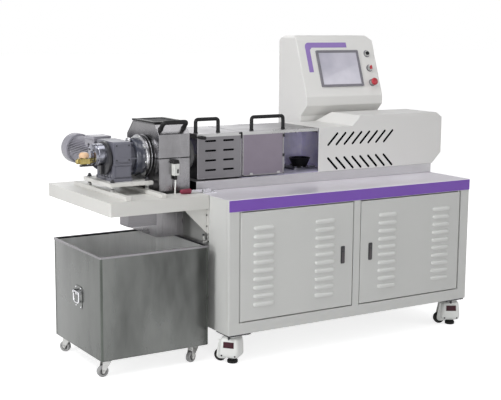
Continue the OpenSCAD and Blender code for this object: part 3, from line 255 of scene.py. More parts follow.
class Piece:
    """Collects solids in millimetres, then becomes one mesh object that rides on a body."""

    def __init__(self):
        self.v, self.f, self.crisp = [], [], set()

    def add(self, verts, faces, at=None):
        n = len(self.v)
        self.v += [(at @ Vector(p)) if at else Vector(p) for p in verts]
        self.f += [[n + i for i in f] for f in faces]
        return self

    def box(self, lo, hi, at=None):
        (a, b, c), (d, e, f) = lo, hi
        v = [(a, b, c), (d, b, c), (d, e, c), (a, e, c), (a, b, f), (d, b, f), (d, e, f), (a, e, f)]
        return self.add(v, [(0, 3, 2, 1), (4, 5, 6, 7), (0, 1, 5, 4), (1, 2, 6, 5), (2, 3, 7, 6),
                            (3, 0, 4, 7)], at)

    def extrude(self, loops, lo, hi, axis="y", at=None):
        """A flat outline, with holes after the first loop, carried from lo to hi along an axis.

        The outline's pair of numbers is (x, z) for y, (y, z) for x and (x, y) for z.
        """
        place = {"x": lambda a, b, t: (t, a, b), "y": lambda a, b, t: (a, t, b), "z": lambda a, b,
                 t: (a, b, t)}[axis]
        flat = [p for loop in loops for p in loop]
        n = len(flat)
        if len(loops) == 1:
            caps = [tuple(range(n))]
        else:
            caps = net(loops)
            first = len(self.v)
            self.crisp |= {first + i for k in (0, n) for i in range(k + len(loops[0]), k + n)}
        faces = caps + [tuple(n + i for i in reversed(t)) for t in caps]
        start = 0
        for loop in loops:
            k = len(loop)
            faces += [(start + i, start + (i + 1) % k, n + start + (i + 1) % k,
                       n + start + i) for i in range(k)]
            start += k
        return self.add([place(a, b, lo) for a, b in flat] + [place(a, b, hi) for a, b in flat], faces, at)

    def lathe(self, profile, base, axis="z", steps=48, at=None):
        """Turns a list of (distance along the axis, radius) about an axis through base."""
        base = Vector(base)
        turn = {"x": lambda t, c, s: (t, c, s), "y": lambda t, c, s: (s, t, c), "z": lambda t, c,
                s: (c, s, t)}[axis]
        v, f, rings = [], [], []
        for t, r in profile:
            if r < 1e-6:
                rings.append([len(v)])
                v.append(base + Vector(turn(t, 0, 0)))
            else:
                rings.append(list(range(len(v), len(v) + steps)))
                v += [base + Vector(turn(t, r * cos(a), r * sin(a)))
                      for a in [2 * pi * i / steps for i in range(steps)]]
        for a, b in zip(rings, rings[1:]):
            for i in range(steps):
                j = (i + 1) % steps
                if len(a) == 1 and len(b) > 1:
                    f.append((a[0], b[i], b[j]))
                elif len(b) == 1 and len(a) > 1:
                    f.append((a[i], b[0], a[j]))
                elif len(a) > 1:
                    f.append((a[i], b[i], b[j], a[j]))
        return self.add(v, f, at)

    def rod(self, base, r, length, axis="z", edge=0.0, steps=40, at=None):
        """A solid cylinder with eased ends."""
        e = min(edge, r * 0.6, length * 0.4)
        prof = [(0, 0), (0, r - e), (e, r), (length - e, r), (length, r - e), (length, 0)] if e else \
            [(0, 0), (0, r), (length, r), (length, 0)]
        return self.lathe(prof, base, axis, steps, at)

    def ring(self, base, r, bore, length, axis="z", edge=0.0, steps=48, at=None):
        e = min(edge, (r - bore) * 0.3, length * 0.4)
        prof = [(0, bore), (0, r - e), (e, r), (length - e, r), (length, r - e), (length, bore), (0, bore)]
        return self.lathe(prof, base, axis, steps, at)

    def tube(self, path, r, steps=14, at=None):
        """Sweeps a circle along a list of points and closes both ends."""
        pts = [Vector(p) for p in path]
        v, f = [], []
        side = None
        for i, p in enumerate(pts):
            d = (pts[min(i + 1, len(pts) - 1)] - pts[max(i - 1, 0)]).normalized()
            if side is None:
                side = d.cross(Vector((0, 0, 1)) if abs(d.z) < 0.9 else Vector((1, 0, 0))).normalized()
            side = (side - d * side.dot(d)).normalized()
            up = d.cross(side)
            v += [p + (side * cos(2 * pi * k / steps) + up * sin(2 * pi * k / steps)) * r
                  for k in range(steps)]
        for i in range(len(pts) - 1):
            for k in range(steps):
                j = (k + 1) % steps
                f.append((i * steps + k, i * steps + j, (i + 1) * steps + j, (i + 1) * steps + k))
        f += [tuple(range(steps)), tuple(range((len(pts) - 1) * steps, len(pts) * steps))]
        return self.add(v, f, at)

    def loft(self, sections, at=None):
        """Joins closed cross sections of equal length, capped at both ends."""
        k = len(sections[0])
        v = [p for s in sections for p in s]
        f = [(i * k + a, i * k + (a + 1) % k, (i + 1) * k + (a + 1) % k, (i + 1) * k + a)
             for i in range(len(sections) - 1) for a in range(k)]
        f += [tuple(range(k)), tuple(range(len(v) - k, len(v)))]
        return self.add(v, f, at)

    def bolt(self, p, axis="z", r=6.5, h=5.0, way=1, washer=True):
        """A hex head on a washer, standing on p."""
        p = Vector(p)
        unit = {"x": Vector((1, 0, 0)), "y": Vector((0, 1, 0)), "z": Vector((0, 0, 1))}[axis] * way
        if washer:
            self.rod(p if way > 0 else p + unit * 1.2, r * 1.35, 1.2, axis, 0.3, 20)
        top = p + unit * 1.2
        self.rod(top if way > 0 else top + unit * h, r, h, axis, 0.8, 6)
        return self

    def make(self, name, mat, node, bevel=0.0, segments=2, angle=35, cuts=()):
        """Builds the object, eases its edges, except those of holes, and hands it to the frame."""
        mesh = bpy.data.meshes.new(name)
        mesh.from_pydata([p * MM for p in self.v], [], self.f)
        bm = bmesh.new()
        bm.from_mesh(mesh)
        crisp = bm.verts.layers.int.new("crisp")
        bm.verts.ensure_lookup_table()
        for i in self.crisp:
            bm.verts[i][crisp] = 1
        bmesh.ops.remove_doubles(bm, verts=bm.verts, dist=1e-6)
        bmesh.ops.dissolve_degenerate(bm, edges=bm.edges, dist=1e-6)
        for point, normal in cuts:
            cut = bmesh.ops.bisect_plane(
                bm, geom=bm.verts[:] + bm.edges[:] + bm.faces[:], plane_co=Vector(point) * MM,
                plane_no=Vector(normal), clear_outer=True)
            rim = [g for g in cut["geom_cut"] if isinstance(g, bmesh.types.BMEdge)]
            bmesh.ops.contextual_create(bm, geom=rim)
        bmesh.ops.recalc_face_normals(bm, faces=bm.faces)
        weight = bm.edges.layers.float.new("bevel_weight_edge")
        for edge in bm.edges:
            turn = edge.calc_face_angle(0) if len(edge.link_faces) == 2 else 0
            edge[weight] = turn > radians(angle) and not all(v[crisp] for v in edge.verts)
        for face in bm.faces:
            face.smooth = True
        bm.to_mesh(mesh)
        bm.free()
        mesh.set_sharp_from_angle(angle=radians(angle))
        obj = bpy.data.objects.new(name, mesh)
        bpy.context.scene.collection.objects.link(obj)
        obj.data.materials.append(mat)
        if bevel:
            m = obj.modifiers.new("edges", "BEVEL")
            m.width, m.segments, m.limit_method = bevel * MM, segments, "WEIGHT"
            m.harden_normals = True
            m.use_clamp_overlap = True
        body = BODY.get(node, "machine")
        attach(obj, body)
        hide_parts(node)


def net(loops):
    """Triangles between an outline and the holes in it, as indices into the loops' points."""
    flat = [Vector(p) for loop in loops for p in loop]
    rims, start = [], 0
    for loop in loops:
        rims += [(start + i, start + (i + 1) % len(loop)) for i in range(len(loop))]
        start += len(loop)
    points, _, tris, origin = delaunay_2d_cdt(flat, rims, [], 0, 1e-6)[:4]
    out = []
    for tri in tris:
        x, y = sum((points[i] for i in tri), Vector((0, 0))) / 3
        hits = 0
        for a, b in rims:
            p, q = flat[a], flat[b]
            if (p.y > y) != (q.y > y) and x < p.x + (y - p.y) * (q.x - p.x) / (q.y - p.y):
                hits += 1
        if hits % 2:
            out.append(tuple(origin[i][0] for i in tri))
    return out


def arc(cx, cy, r, start, end, step=15):
    """Points on a circle from one whole angle to another, in degrees, the end included."""
    way = step if end > start else -step
    return [(cx + r * cos(radians(t)), cy + r * sin(radians(t)))
            for t in range(start, end + (1 if end > start else -1), way)]


def placed(x, y, z, degrees=0.0, axis="X"):
    """A place in the row frame, turned about one axis."""
    return Matrix.Translation((x, y, z)) @ Matrix.Rotation(radians(degrees), 4, axis)


def on_axis(x):
    """A point on the barrel's axis."""
    return x, AXIS_Y, AXIS_Z


def circle(count, r, start):
    """Offsets of points spaced evenly on a circle, from a starting angle in degrees."""
    turns = [radians(start + 360 / count * i) for i in range(count)]
    return [(r * cos(t), r * sin(t)) for t in turns]


def rect(lo, hi):
    """A rectangle as a loop of points."""
    (a, b), (c, d) = lo, hi
    return [(a, b), (c, b), (c, d), (a, d)]


def rounded(lo, hi, r, steps=6):
    """A rectangle with round corners, as a loop of points."""
    (a, b), (c, d) = lo, hi
    out = []
    for cx, cy, start in ((c - r, b + r, -90), (c - r, d - r, 0), (a + r, d - r, 90), (a + r, b + r, 180)):
        for i in range(steps + 1):
            t = radians(start + 90 * i / steps)
            out.append((cx + r * cos(t), cy + r * sin(t)))
    return out


def slanted(cx, cy, length, width, turn, steps):
    """A round-ended slot about a centre, as a loop of points."""
    out = []
    half, r, a = length / 2 - width / 2, width / 2, radians(turn)
    for side in (1, -1):
        for i in range(steps + 1):
            t = a + radians(-90 + 180 * i / steps) + (0 if side > 0 else pi)
            out.append((cx + side * half * cos(a) + r * cos(t), cy + side * half * sin(a) + r * sin(t)))
    return out


def corners(p, q):
    """The low and the high corner of a box between two points."""
    return tuple(map(min, p, q)), tuple(map(max, p, q))


def smooth_path(points, radius, steps=6):
    """Rounds the corners of a path of straight stretches."""
    pts = [Vector(p) for p in points]
    out, shares = [pts[0]], [i / steps for i in range(steps + 1)]
    for a, b, c in zip(pts, pts[1:], pts[2:]):
        r = min(radius, (a - b).length * 0.49, (c - b).length * 0.49)
        p, q = b + (a - b).normalized() * r, b + (c - b).normalized() * r
        out += [(p * (1 - t) + b * t) * (1 - t) + (b * (1 - t) + q * t) * t for t in shares]
    out.append(pts[-1])
    return out


# Cabinet

DOOR_X0, DOOR_X1, DOOR_Z0, DOOR_Z1 = 6, 616, 194, 680
DOOR_GAP = 5
PIN_X, PIN_Y = 14, -43
LOUVRES, LOUVRE_PITCH = 10, 38
STRIP_Z0 = 687
FRAME_Y1, SHEET = -27, 3
LOUVRE_ENDS = ((0, 0.02), (2, 0.42), (6, 0.72), (12, 0.92), (20, 1), (88, 1), (96, 0.92), (102, 0.72),
               (106, 0.42),
               (108, 0.02))
LOUVRE_HOOD = ((10, 0), (9, 3.2), (6, 6), (2, 7.6), (-3, 8), (-8, 7.6), (-10, 6.6), (-10, 0))


def mirror_x():
    """Mirrors left and right across the cabinet's middle."""
    return Matrix.Translation((2 * MID_X, 0, 0)) @ Matrix.Scale(-1, 4, (1, 0, 0))


def mirror_y(y):
    """Mirrors front and back across a line."""
    return Matrix.Translation((0, 2 * y, 0)) @ Matrix.Scale(-1, 4, (0, 1, 0))


def doorway(mirrored=False):
    """A door opening in the front frame; its points run the other way when it is mirrored."""
    loop = rect((DOOR_X0 - DOOR_GAP, DOOR_Z0 - DOOR_GAP), (DOOR_X1 + DOOR_GAP, DOOR_Z1 + DOOR_GAP))
    return [(2 * MID_X - x, z) for x, z in reversed(loop)] if mirrored else loop


def cabinet():
    """The sheets of the cabinet, the door pins, the worktop and the plinth."""
    front = Piece().extrude([rect((X0, Z_FOOT), (X1, Z_BODY)), doorway(), doorway(True)], Y0, FRAME_Y1)
    front.make("front_frame_sheet", GREY_WHITE, "front_frame", bevel=3, segments=3)
    pins = Piece()
    for at in (None, mirror_x()):
        for z in (DOOR_Z0 - 5, DOOR_Z1 - 11.5):
            pins.rod((PIN_X, PIN_Y, z), 4, 16.5, edge=0.6, steps=20, at=at)
    pins.make("door_pins", ZINC, "front_frame")
    sides = Piece()
    for at in (None, mirror_x()):
        sides.box((X0, FRAME_Y1, Z_FOOT), (X0 + SHEET, Y1, Z_BODY), at)
    sides.make("side_sheets", GREY_WHITE, "side_panels", bevel=0.8)
    xa, xb, yb = X0 + SHEET, X1 - SHEET, Y1 - SHEET
    Piece().box((xa, yb, Z_FOOT), (xb, Y1, Z_BODY)).make("back_sheet", GREY_WHITE, "back_panel", bevel=0.8)
    Piece().box((xa, FRAME_Y1, Z_FOOT), (xb, yb, Z_FOOT + SHEET)).make(
        "floor_sheet", GREY_WHITE, "floor_panel", bevel=0.8)
    Piece().box((X0, Y0 - 2, STRIP_Z0), (X1, Y0, Z_BODY)).make(
        "violet_strip", VIOLET, "colour_strip", bevel=0.7)
    top = Piece().box((X0, Y0 - 2, Z_BODY), (MID_X - 0.5, Y1, Z_TOP))
    top.box((MID_X + 0.5, Y0 - 2, Z_BODY), (X1, Y1, Z_TOP))
    top.make("worktop_sheets", TOP_STEEL, "stainless_top", bevel=1.2, segments=3)
    Piece().box((X0 + 1, PLINTH_Y0, Z_TOP), (X1, PLINTH_Y1, Z_PLINTH)).make(
        "plinth_sheet", PLINTH_STEEL, "plinth", bevel=1.5)
    # a black sheet just inside the plinth's open left end: painted shade of its interior
    Piece().box((X0, PLINTH_Y0 + 3, Z_TOP + 1), (X0 + 1.2, PLINTH_Y1 - 3, Z_PLINTH - 3)).make(
        "plinth_end_painted_shade", PAINTED_SHADE_BLACK, "plinth")


def louvre(piece, x, z, at):
    """A pressed louvre: a rounded hood that falls away at both ends, open along its lower edge."""
    sections = []
    for s, k in LOUVRE_ENDS:
        rise = 0.35 + 0.65 * k
        pts = [(x + s, Y0 + 0.4 - out * k, z + t * rise) for t, out in LOUVRE_HOOD]
        sections.append(pts + [(x + s, Y0 + 0.8, z - 10 * rise), (x + s, Y0 + 0.8, z + 10 * rise)])
    piece.loft(sections, at)


def door(body, at):
    """A door with its rolled hinge edge, two columns of louvres and a latch."""
    slab = Piece()
    loop = [(PIN_X, Y0), (DOOR_X1, Y0), (DOOR_X1, Y0 + 16), (PIN_X, Y0 + 16)]
    slab.extrude([loop + arc(PIN_X, PIN_Y, 8, 105, 255)], DOOR_Z0, DOOR_Z1, "z", at)
    slab.make(body + "_sheet", GREY_WHITE, body, bevel=1.2, segments=2)
    louvres = Piece()
    for x in (DOOR_X0 + 68, DOOR_X0 + 398):
        for i in range(LOUVRES):
            louvre(louvres, x, DOOR_Z0 + 70 + LOUVRE_PITCH * i, at)
    louvres.make(body + "_louvres", LOUVRE_PAINTED_HIGHLIGHT, body, angle=50)
    plate = Piece()
    cx, cz = DOOR_X1 - 57, DOOR_Z0 + 245
    plate.extrude([rounded((cx - 11, cz - 41), (cx + 11, cz + 41), 5)], Y0 - 3, Y0, "y", at)
    plate.make(body + "_latch_plate", DARK_PAINT, body, bevel=0.8)
    lever = Piece().extrude([rounded((cx - 7, cz - 37), (cx + 7, cz + 12), 4)], Y0 - 5, Y0 - 3, "y", at)
    lever.rod((cx, Y0 - 5, cz + 24), 6, 2, "y", 0.5, 20, at)
    lever.make(body + "_latch_lever", LATCH_GREY, body, bevel=0.5)


FOOT_TURNS = ((0, 40), (1278, 60))
FOOT_Y = (0, 758)
FOOT_IN, FOOT_OUT, Z_MOUNT = 48, 70, 131


def turned(x, y, degrees, flip):
    """A caster's place: turned about its foot, and mirrored for the back row."""
    side = Matrix.Scale(-1 if flip else 1, 4, (0, 1, 0))
    return Matrix.Translation((x, y, 0)) @ side @ Matrix.Rotation(radians(degrees), 4, "Z")


def casters():
    """Levelling casters: black plate, cast body that widens downwards, screwed-down foot, raised wheel."""
    plates, bodies, rubber, labels = Piece(), Piece(), Piece(), Piece()
    for fx, turn in FOOT_TURNS:
        for fy in FOOT_Y:
            at = turned(fx, fy, turn, fy > 0)
            sx, sy = (1 if fx == 0 else -1), (1 if fy == 0 else -1)
            xa, xb = sorted((fx - FOOT_IN * sx, fx + FOOT_OUT * sx))
            ya, yb = sorted((fy - FOOT_IN * sy, fy + FOOT_OUT * sy))
            plates.extrude([rounded((xa, ya), (xb, yb), 10)], Z_MOUNT, Z_FOOT, "z")
            for bx in (xa + 13, xb - 13):
                for by in (ya + 13, yb - 13):
                    plates.bolt((bx, by, Z_MOUNT), "z", 5, 3, -1)
            plates.rod((-34, 5, 110), 6.5, 21, "z", 1, 24, at)
            sections = []
            for z, h in ((27, 30), (31, 40), (37, 44.5), (46, 46), (80, 45), (106, 42.5), (115, 39),
                         (120, 32)):
                sections.append([(x, y + 5, z) for x, y in rounded((-h, -h), (h, h), h * 0.36, 5)])
            bodies.loft(sections, at)
            bodies.lathe([(0, 0), (0, 33), (2, 36), (9, 36), (12, 33), (12, 0)], (0, 5, 119), "z", 40, at)
            for x in (-20, 14):
                bodies.extrude([[(26, 20), (52, 18.5), (61, 20.5), (68, 27), (69, 36), (66, 62), (57, 108),
                                 (26, 114)]], x, x + 6, "x", at)
            bodies.rod((-20, 56, 32), 5, 40, "x", 1, 20, at)
            for y in (-26, 36):
                plates.rod((-47.3, y, 40), 4, 3, "x", 1, 16, at)
            rubber.lathe([(0, 0), (0, 22), (3, 24), (12, 24), (17, 19), (30, 18), (30, 0)], (0, 0, 0), "z",
                         40, at)
            rubber.ring((-12, 56, 32), 28, 5.1, 24, "x", 4, 40, at)
            slant = [[(-46.4, -21, 76), (-46.4, 29, 76), (-42, 29, 76), (-42, -21, 76)],
                     [(-44.6, -20, 103), (-44.6, 28, 103), (-40, 28, 103), (-40, -20, 103)]]
            labels.loft(slant, at)
    plates.make("caster_plates", DARK_PAINT, "levelling_casters", bevel=1)
    bodies.make("caster_castings", CAST_WHITE, "levelling_casters", bevel=1.5, segments=3, angle=50)
    rubber.make("caster_feet_and_wheels", RUBBER, "levelling_feet")
    labels.make("caster_blank_plates", LABEL, "levelling_casters", bevel=0.5)


# Side table

TAB_X0, TAB_Y0, TAB_Y1, Z_TAB0, Z_TRAY = -531, 117, 807, 680, 737.5
HOOD_X0, HOOD_X1, HOOD_Y0, HOOD_Y1 = -232, -79, 249, 573
HOOD_MX = (HOOD_X0 + HOOD_X1) / 2
CHUTE_X1, CHUTE_Y0, CHUTE_Y1, Z_CHUTE = -99, 277, 559, 541
STUD_X = (-434, -266)
BRACKET_Y0, BRACKET_Y1, BRACKET_MID_Y = 123, 147, 462
LUG_Z0, LUG_Z1, LUG_BOLT_X, LUG_BOLT_Y = 528, 568, -72, 135


def side_table():
    """A folded tray upside down: four sides and a top sheet with the chute's opening."""
    outer = rounded((TAB_X0, TAB_Y0), (X0, TAB_Y1), 7)
    inner = rounded((TAB_X0 + 3, TAB_Y0 + 3), (X0 - 3, TAB_Y1 - 3), 4)
    hole = rect((HOOD_X0, CHUTE_Y0), (CHUTE_X1, CHUTE_Y1))
    tray = Piece().extrude([outer, inner], Z_TAB0, Z_TRAY, "z")
    tray.make("table_sides", TABLE_WHITE, "side_table")
    Piece().extrude([outer, hole], Z_TRAY, Z_TOP, "z").make(
        "table_top", TABLE_WHITE, "side_table", bevel=1.6, segments=3)
    lips = Piece().extrude([inner, rounded((TAB_X0 + 22, TAB_Y0 + 22), (X0 - 22, TAB_Y1 - 22), 3)], Z_TAB0,
                           Z_TAB0 + 2.5, "z")
    lips.make("table_lip", TABLE_WHITE, "side_table", bevel=0.6)
    rails = Piece()
    for x in STUD_X:
        rails.box((x - 13, TAB_Y0 + 22, Z_TOP), (x + 13, TAB_Y0 + 582, Z_TOP + 18))
    rails.make("drive_rails", TABLE_WHITE, "side_table", bevel=2)


def brackets():
    """The plates, lugs and bolts that carry the side table."""
    plates, lugs, bolts = Piece(), Piece(), Piece()
    for at in (None, mirror_y(BRACKET_MID_Y)):
        plates.extrude([[(X0, Z_TAB0), (X0 - 112, Z_TAB0), (X0 - 112, 672), (X0 - 12, 572), (X0, LUG_Z1)]],
                       131, 139, "y", at)
        plates.box((X0 - 8, BRACKET_Y0, LUG_Z1), (X0, 131, Z_TAB0), at)
        lugs.box((-82.7, BRACKET_Y0, LUG_Z0), (X0, BRACKET_Y1, LUG_Z0 + 8), at)
        lugs.box((-59, BRACKET_Y0, LUG_Z0), (X0, BRACKET_Y1, LUG_Z1), at)
        lugs.rod((LUG_BOLT_X, LUG_BOLT_Y, LUG_Z0 + 8), 8, 22, "z", 1.5, 6, at)
        bolts.rod((LUG_BOLT_X, LUG_BOLT_Y, LUG_Z0 - 4), 5, 42, "z", 0.8, 20, at)
        for z in (600, 650):
            y = 127 if at is None else 797
            bolts.bolt((X0 - 8, y, z), "x", 3.2, 3, -1)
    plates.make("bracket_plates", TABLE_WHITE, "table_brackets", bevel=1)
    lugs.make("bracket_lugs", ZINC, "table_brackets", bevel=0.8)
    bolts.make("bracket_bolts", DARK_PAINT, "table_brackets")


def chute():
    """The stainless chute under the hood, with the drain channel beside it."""
    box = Piece()
    a, b, c, d = HOOD_X0 + 0.3, CHUTE_X1 - 0.3, CHUTE_Y0 + 0.3, CHUTE_Y1 - 0.3
    outer, inner = rect((a, c), (b, d)), rect((a + 2, c + 2), (b - 2, d - 2))
    box.extrude([outer, inner], Z_CHUTE, Z_TOP, "z")
    box.make("chute_sheet", CHUTE_STEEL, "outlet_chute")
    rim = Piece()
    for z, t, w in ((648, 10, 2), (Z_CHUTE, 7, 1.5)):
        rim.extrude([rect((a - w, c - w), (b + w, d + w)), outer], z, z + t, "z")
    for x in (a + 30, b - 34):
        rim.box((x, c - 2, Z_CHUTE), (x + 4, c, 738))
    rim.make("chute_bands", CHUTE_STEEL, "outlet_chute", bevel=0.6)
    u = Piece()
    y, z0, z1 = CHUTE_Y0, 598, 650
    u.extrude([[(y, z0), (y + 90, z0), (y + 90, z1), (y + 87, z1), (y + 87, z0 + 3), (y + 3, z0 + 3),
                (y + 3, z1), (y, z1)]],
              HOOD_X0 - 138, HOOD_X0, "x")
    u.box((HOOD_X0 - 138, y, z0), (HOOD_X0 - 135, y + 90, z1))
    u.make("drain_channel", COVER_STEEL, "outlet_chute", bevel=0.6)
    inside = Piece().box((HOOD_X0 - 120, y + 20, z0 + 4), (HOOD_X0 - 70, y + 68, z0 + 52))
    inside.rod((HOOD_X0 - 60, y + 44, z0 + 28), 11, 58, "x", 1.5, 24)
    inside.make("drain_valve", DARK_PAINT, "outlet_chute", bevel=1)


def clamp():
    """The toggle clamp with its red grip, at the front of the side table."""
    y = 195
    base = Piece().extrude([rounded((X0 + 4, y - 17), (X0 + 74, y + 17), 4)], Z_TOP, Z_TOP + 3, "z")
    for s in (-11, 8):
        base.box((X0 + 6, y + s, Z_TOP + 3), (X0 + 46, y + s + 3, Z_TOP + 17))
    for bx in (58, 68):
        base.bolt((X0 + bx, y, Z_TOP + 3), "z", 3.4, 3)
    base.make("clamp_base", BRIGHT, "toggle_clamp", bevel=0.6)
    links = Piece().extrude([[(X0 - 52, 744), (X0 + 30, 746), (X0 + 42, 752), (X0 + 36, 757),
                              (X0 - 52, 757)]], y - 5, y + 5)
    for x in (16, 36):
        links.rod((X0 + x, y - 13, 752), 3.4, 26, "y", 0.6, 16)
    links.make("clamp_links", BRIGHT, "toggle_clamp", bevel=0.6)
    grip = Piece().lathe([(0, 0), (1, 6), (5, 9.6), (12, 10.6), (40, 12), (48, 12), (53, 9.5), (54, 7),
                          (54, 0)], (X0 - 106, y, 752), "x", 28)
    grip.make("clamp_grip", GRIP_RED, "toggle_clamp")


# Covers and feed

COV1, COV2 = (-46, 186), (191, 615)
PANEL_X1 = 419
Z_COV0 = 794
HINGE_Y, HINGE_Z = 567, 991
HANDLE_Y, HANDLE_H, HANDLE_R = 285, 78.5, 8.5
LEVER_AT = (-38, 227, 984)


def bridge(node, centre, length, height, r, tilt=0.0):
    """A black bridge handle on two flanged feet."""
    at = placed(*centre, tilt)
    h = height - 2 * r
    x = length / 2 - r
    bar = Piece().tube(smooth_path([(-x, 0, 0), (-x, 0, h), (x, 0, h), (x, 0, 0)], 14, 8), r, 20, at=at)
    bar.make(node + "_bar", BLACK, node, angle=50)
    feet = Piece()
    for s in (-1, 1):
        feet.lathe([(0, 0), (0, r * 1.2), (2.5, r * 1.2), (5, r * 1.02), (5, 0)], (s * x, 0, 0), "z", 24, at)
    feet.make(node + "_feet", BLACK, node)


def knuckles(node, mid, moving):
    """A cover's two outer knuckles, or the fixed panel's middle one with the pin."""
    p = Piece()
    for x, l in ((mid - 60, 39), (mid + 21, 39)) if moving else ((mid - 20, 40),):
        p.ring((x, HINGE_Y, HINGE_Z), 7, 4.05, l, "x", 0.8, 28)
        if moving:
            p.box((x, HINGE_Y - 15, 995.2), (x + l, HINGE_Y, Z_COVER))
        else:
            p.box((x, 559, 950), (x + l, 562, 989))
    p.make(node + "_knuckles_%d" % mid, COVER_STEEL, node, bevel=0.3)
    if not moving:
        pin = Piece().rod((mid - 60, HINGE_Y, HINGE_Z), 4, 120, "x", 0.8, 20)
        pin.make(node + "_pin_%d" % mid, ZINC, node)


def cover_top(name, ends):
    """The top sheet of a cover with its folded front lip and side flanges."""
    xs, xe = ends
    lid = Piece().box((xs, PLINTH_Y0, Z_COVER - 3), (xe, PLINTH_Y1, Z_COVER))
    for x in (xs, xe - 2):
        lid.box((x, PLINTH_Y0 + 3, Z_COVER - 22), (x + 2, PLINTH_Y1 - 6, Z_COVER - 3))
    lid.make(name + "_top", COVER_STEEL, name, bevel=0.9)
    lip = Piece().box((xs, PLINTH_Y0 - 0.8, Z_COVER - 15), (xe, PLINTH_Y0 + 1, Z_COVER))
    lip.make(name + "_lip", LIP_STEEL, name, bevel=1.2)
    knuckles(name, (xs + xe) // 2, True)
    knuckles("rear_cover_panel", (xs + xe) // 2, False)


def covers():
    """Both barrel covers with their handles, and the fixed panel behind them."""
    xs, xe = COV1
    mid = (xs + xe) / 2
    slots = [slanted(mid + dx, Z_COV0 + 38.5 + 44 * k, 58, 9, 0, 4)[::-1]
             for dx in (-47, 47) for k in range(4)]
    front = Piece().extrude([rect((xs, Z_COV0), (xe, 996)), *slots], PLINTH_Y0, PLINTH_Y0 + 2)
    front.make("slotted_cover_front", COVER_FRONT, "slotted_cover", bevel=0.6)
    # a black sheet behind the slots: painted shade inside the cover
    Piece().box((xs + 30, PLINTH_Y0 + 2, 815), (xe - 30, PLINTH_Y0 + 3, 980)).make(
        "slotted_cover_painted_shade", PAINTED_SHADE_BLACK, "slotted_cover")
    edges = Piece()
    for x, w in ((xs, 4), (xe - 5, 5)):
        edges.box((x, PLINTH_Y0 - 0.8, Z_COV0), (x + w, PLINTH_Y0, 983))
    edges.box((xs, PLINTH_Y0 - 0.8, Z_COV0), (xe, PLINTH_Y0, Z_COV0 + 3))
    edges.make("slotted_cover_edges", COVER_STEEL, "slotted_cover", bevel=0.4)
    corner = Piece().box((xe - 3, PLINTH_Y0 - 3, 968), (xe + 1.5, PLINTH_Y0 - 1, 997))
    corner.box((xe - 14, PLINTH_Y0 - 3, 990), (xe - 3, PLINTH_Y0 - 1, 997))
    corner.make("slotted_cover_corner", BLACK, "slotted_cover", bevel=0.6)
    cover_top("slotted_cover", COV1)
    bridge("slotted_cover_handle", (29.5, HANDLE_Y, Z_COVER), 134, HANDLE_H, HANDLE_R)
    lever = Piece().rod(LEVER_AT, 6, 12, "y", 1, 28)
    at = placed(*LEVER_AT, 8, "Y")
    lever.lathe([(-24, 0), (-24, 3), (-22, 4), (-4, 4.4), (0, 6.5), (4, 8), (26, 8), (29, 6.8), (30, 4),
                 (30, 0)], (0, 0, 0), "x", 28, at)
    lever.make("cover_latch_lever", BLACK, "slotted_cover_handle", bevel=0.4)
    # plain cover: front panel on the left, open niche under the top on the right
    xs, xe = COV2
    panel = Piece().box((xs, PLINTH_Y0, Z_COV0), (PANEL_X1, PLINTH_Y0 + 3, 996))
    panel.make("plain_cover_front", PANEL_STEEL, "plain_cover", bevel=0.6)
    edges = Piece()
    for x in (xs, PANEL_X1 - 7):
        edges.box((x, PLINTH_Y0 - 1, Z_COV0), (x + 7, PLINTH_Y0, 984))
    edges.box((xs, PLINTH_Y0 - 1, Z_COV0), (PANEL_X1, PLINTH_Y0, Z_COV0 + 4))
    edges.make("plain_cover_edges", COVER_STEEL, "plain_cover", bevel=0.4)
    cover_top("plain_cover", COV2)
    clips, tabs = Piece(), Piece()
    for zc in (972, 880):
        clips.box((PANEL_X1 - 6, PLINTH_Y0 - 4, zc - 7), (PANEL_X1 + 2, PLINTH_Y0 - 1, zc + 7))
    clips.make("plain_cover_clips", BLACK, "plain_cover", bevel=0.8)
    for x in (xs + 48, PANEL_X1 - 30):
        tabs.box((x - 8, PLINTH_Y0 - 2.5, Z_COV0 + 2), (x + 8, PLINTH_Y0 - 1, Z_COV0 + 12))
    tabs.make("plain_cover_tabs", LIP_STEEL, "plain_cover", bevel=0.6)
    bridge("plain_cover_handle", (355.2, HANDLE_Y, Z_COVER), 192, HANDLE_H, HANDLE_R)
    # the rear sheet in the niche's very pale lavender: painted light behind the covers
    rear = Piece().box((COV1[0], PLINTH_Y1 - 3, Z_PLINTH), (COV2[1], PLINTH_Y1, 990))
    rear.make("rear_cover_sheet", NICHE_PAINTED_LIGHT, "rear_cover_panel", bevel=0.6)


BLOCKS, BLOCK_L, BLOCK_PITCH = 8, 62, 63.5
BARREL_X0, BARREL_Z0, BARREL_Z1 = -5, 800, 870
FUNNEL_X = 619


def barrel():
    """Clamped barrel blocks on two feet, the feed flange and the funnel."""
    body, bolts = Piece(), Piece()
    for i in range(BLOCKS):
        x = BARREL_X0 + BLOCK_PITCH * i
        body.box((x, 354, BARREL_Z0), (x + BLOCK_L, 444, BARREL_Z1))
        for y in (362, 436):
            for s in (10, 52):
                bolts.rod((x + s, y, BARREL_Z1), 5, 6, "z", 1, 6)
    body.box((BARREL_X0, 369, 812), (503, 429, 860))
    for bx in (122, 376):
        body.box((bx - 22.5, 369, Z_PLINTH), (bx + 22.5, 429, BARREL_Z0))
    body.extrude([rounded((549, 339), (689, 459), 8)], Z_PLINTH, Z_PLINTH + 10, "z")
    body.make("barrel_blocks", BARREL_STEEL, "barrel", bevel=1.2)
    for sx in (562, 600, 638, 676):
        for sy in (350, 448):
            bolts.bolt((sx, sy, Z_PLINTH + 10), "z", 6, 7)
    bolts.make("barrel_bolts", BRIGHT, "barrel")
    cone = Piece().lathe([(0, 30), (0, 34), (3, 35), (40, 51), (44, 53), (44, 49), (40, 47.5), (3, 31),
                          (0, 30)], (FUNNEL_X, AXIS_Y, 795), "z", 56)
    cone.make("funnel_cone", BLACK, "feed_funnel")


DIE_X = -30
SUPPORT_X0, SUPPORT_X1, SUPPORT_Y0, SUPPORT_Y1, SUPPORT_BEVEL = -15, -5, 248, 550, 14


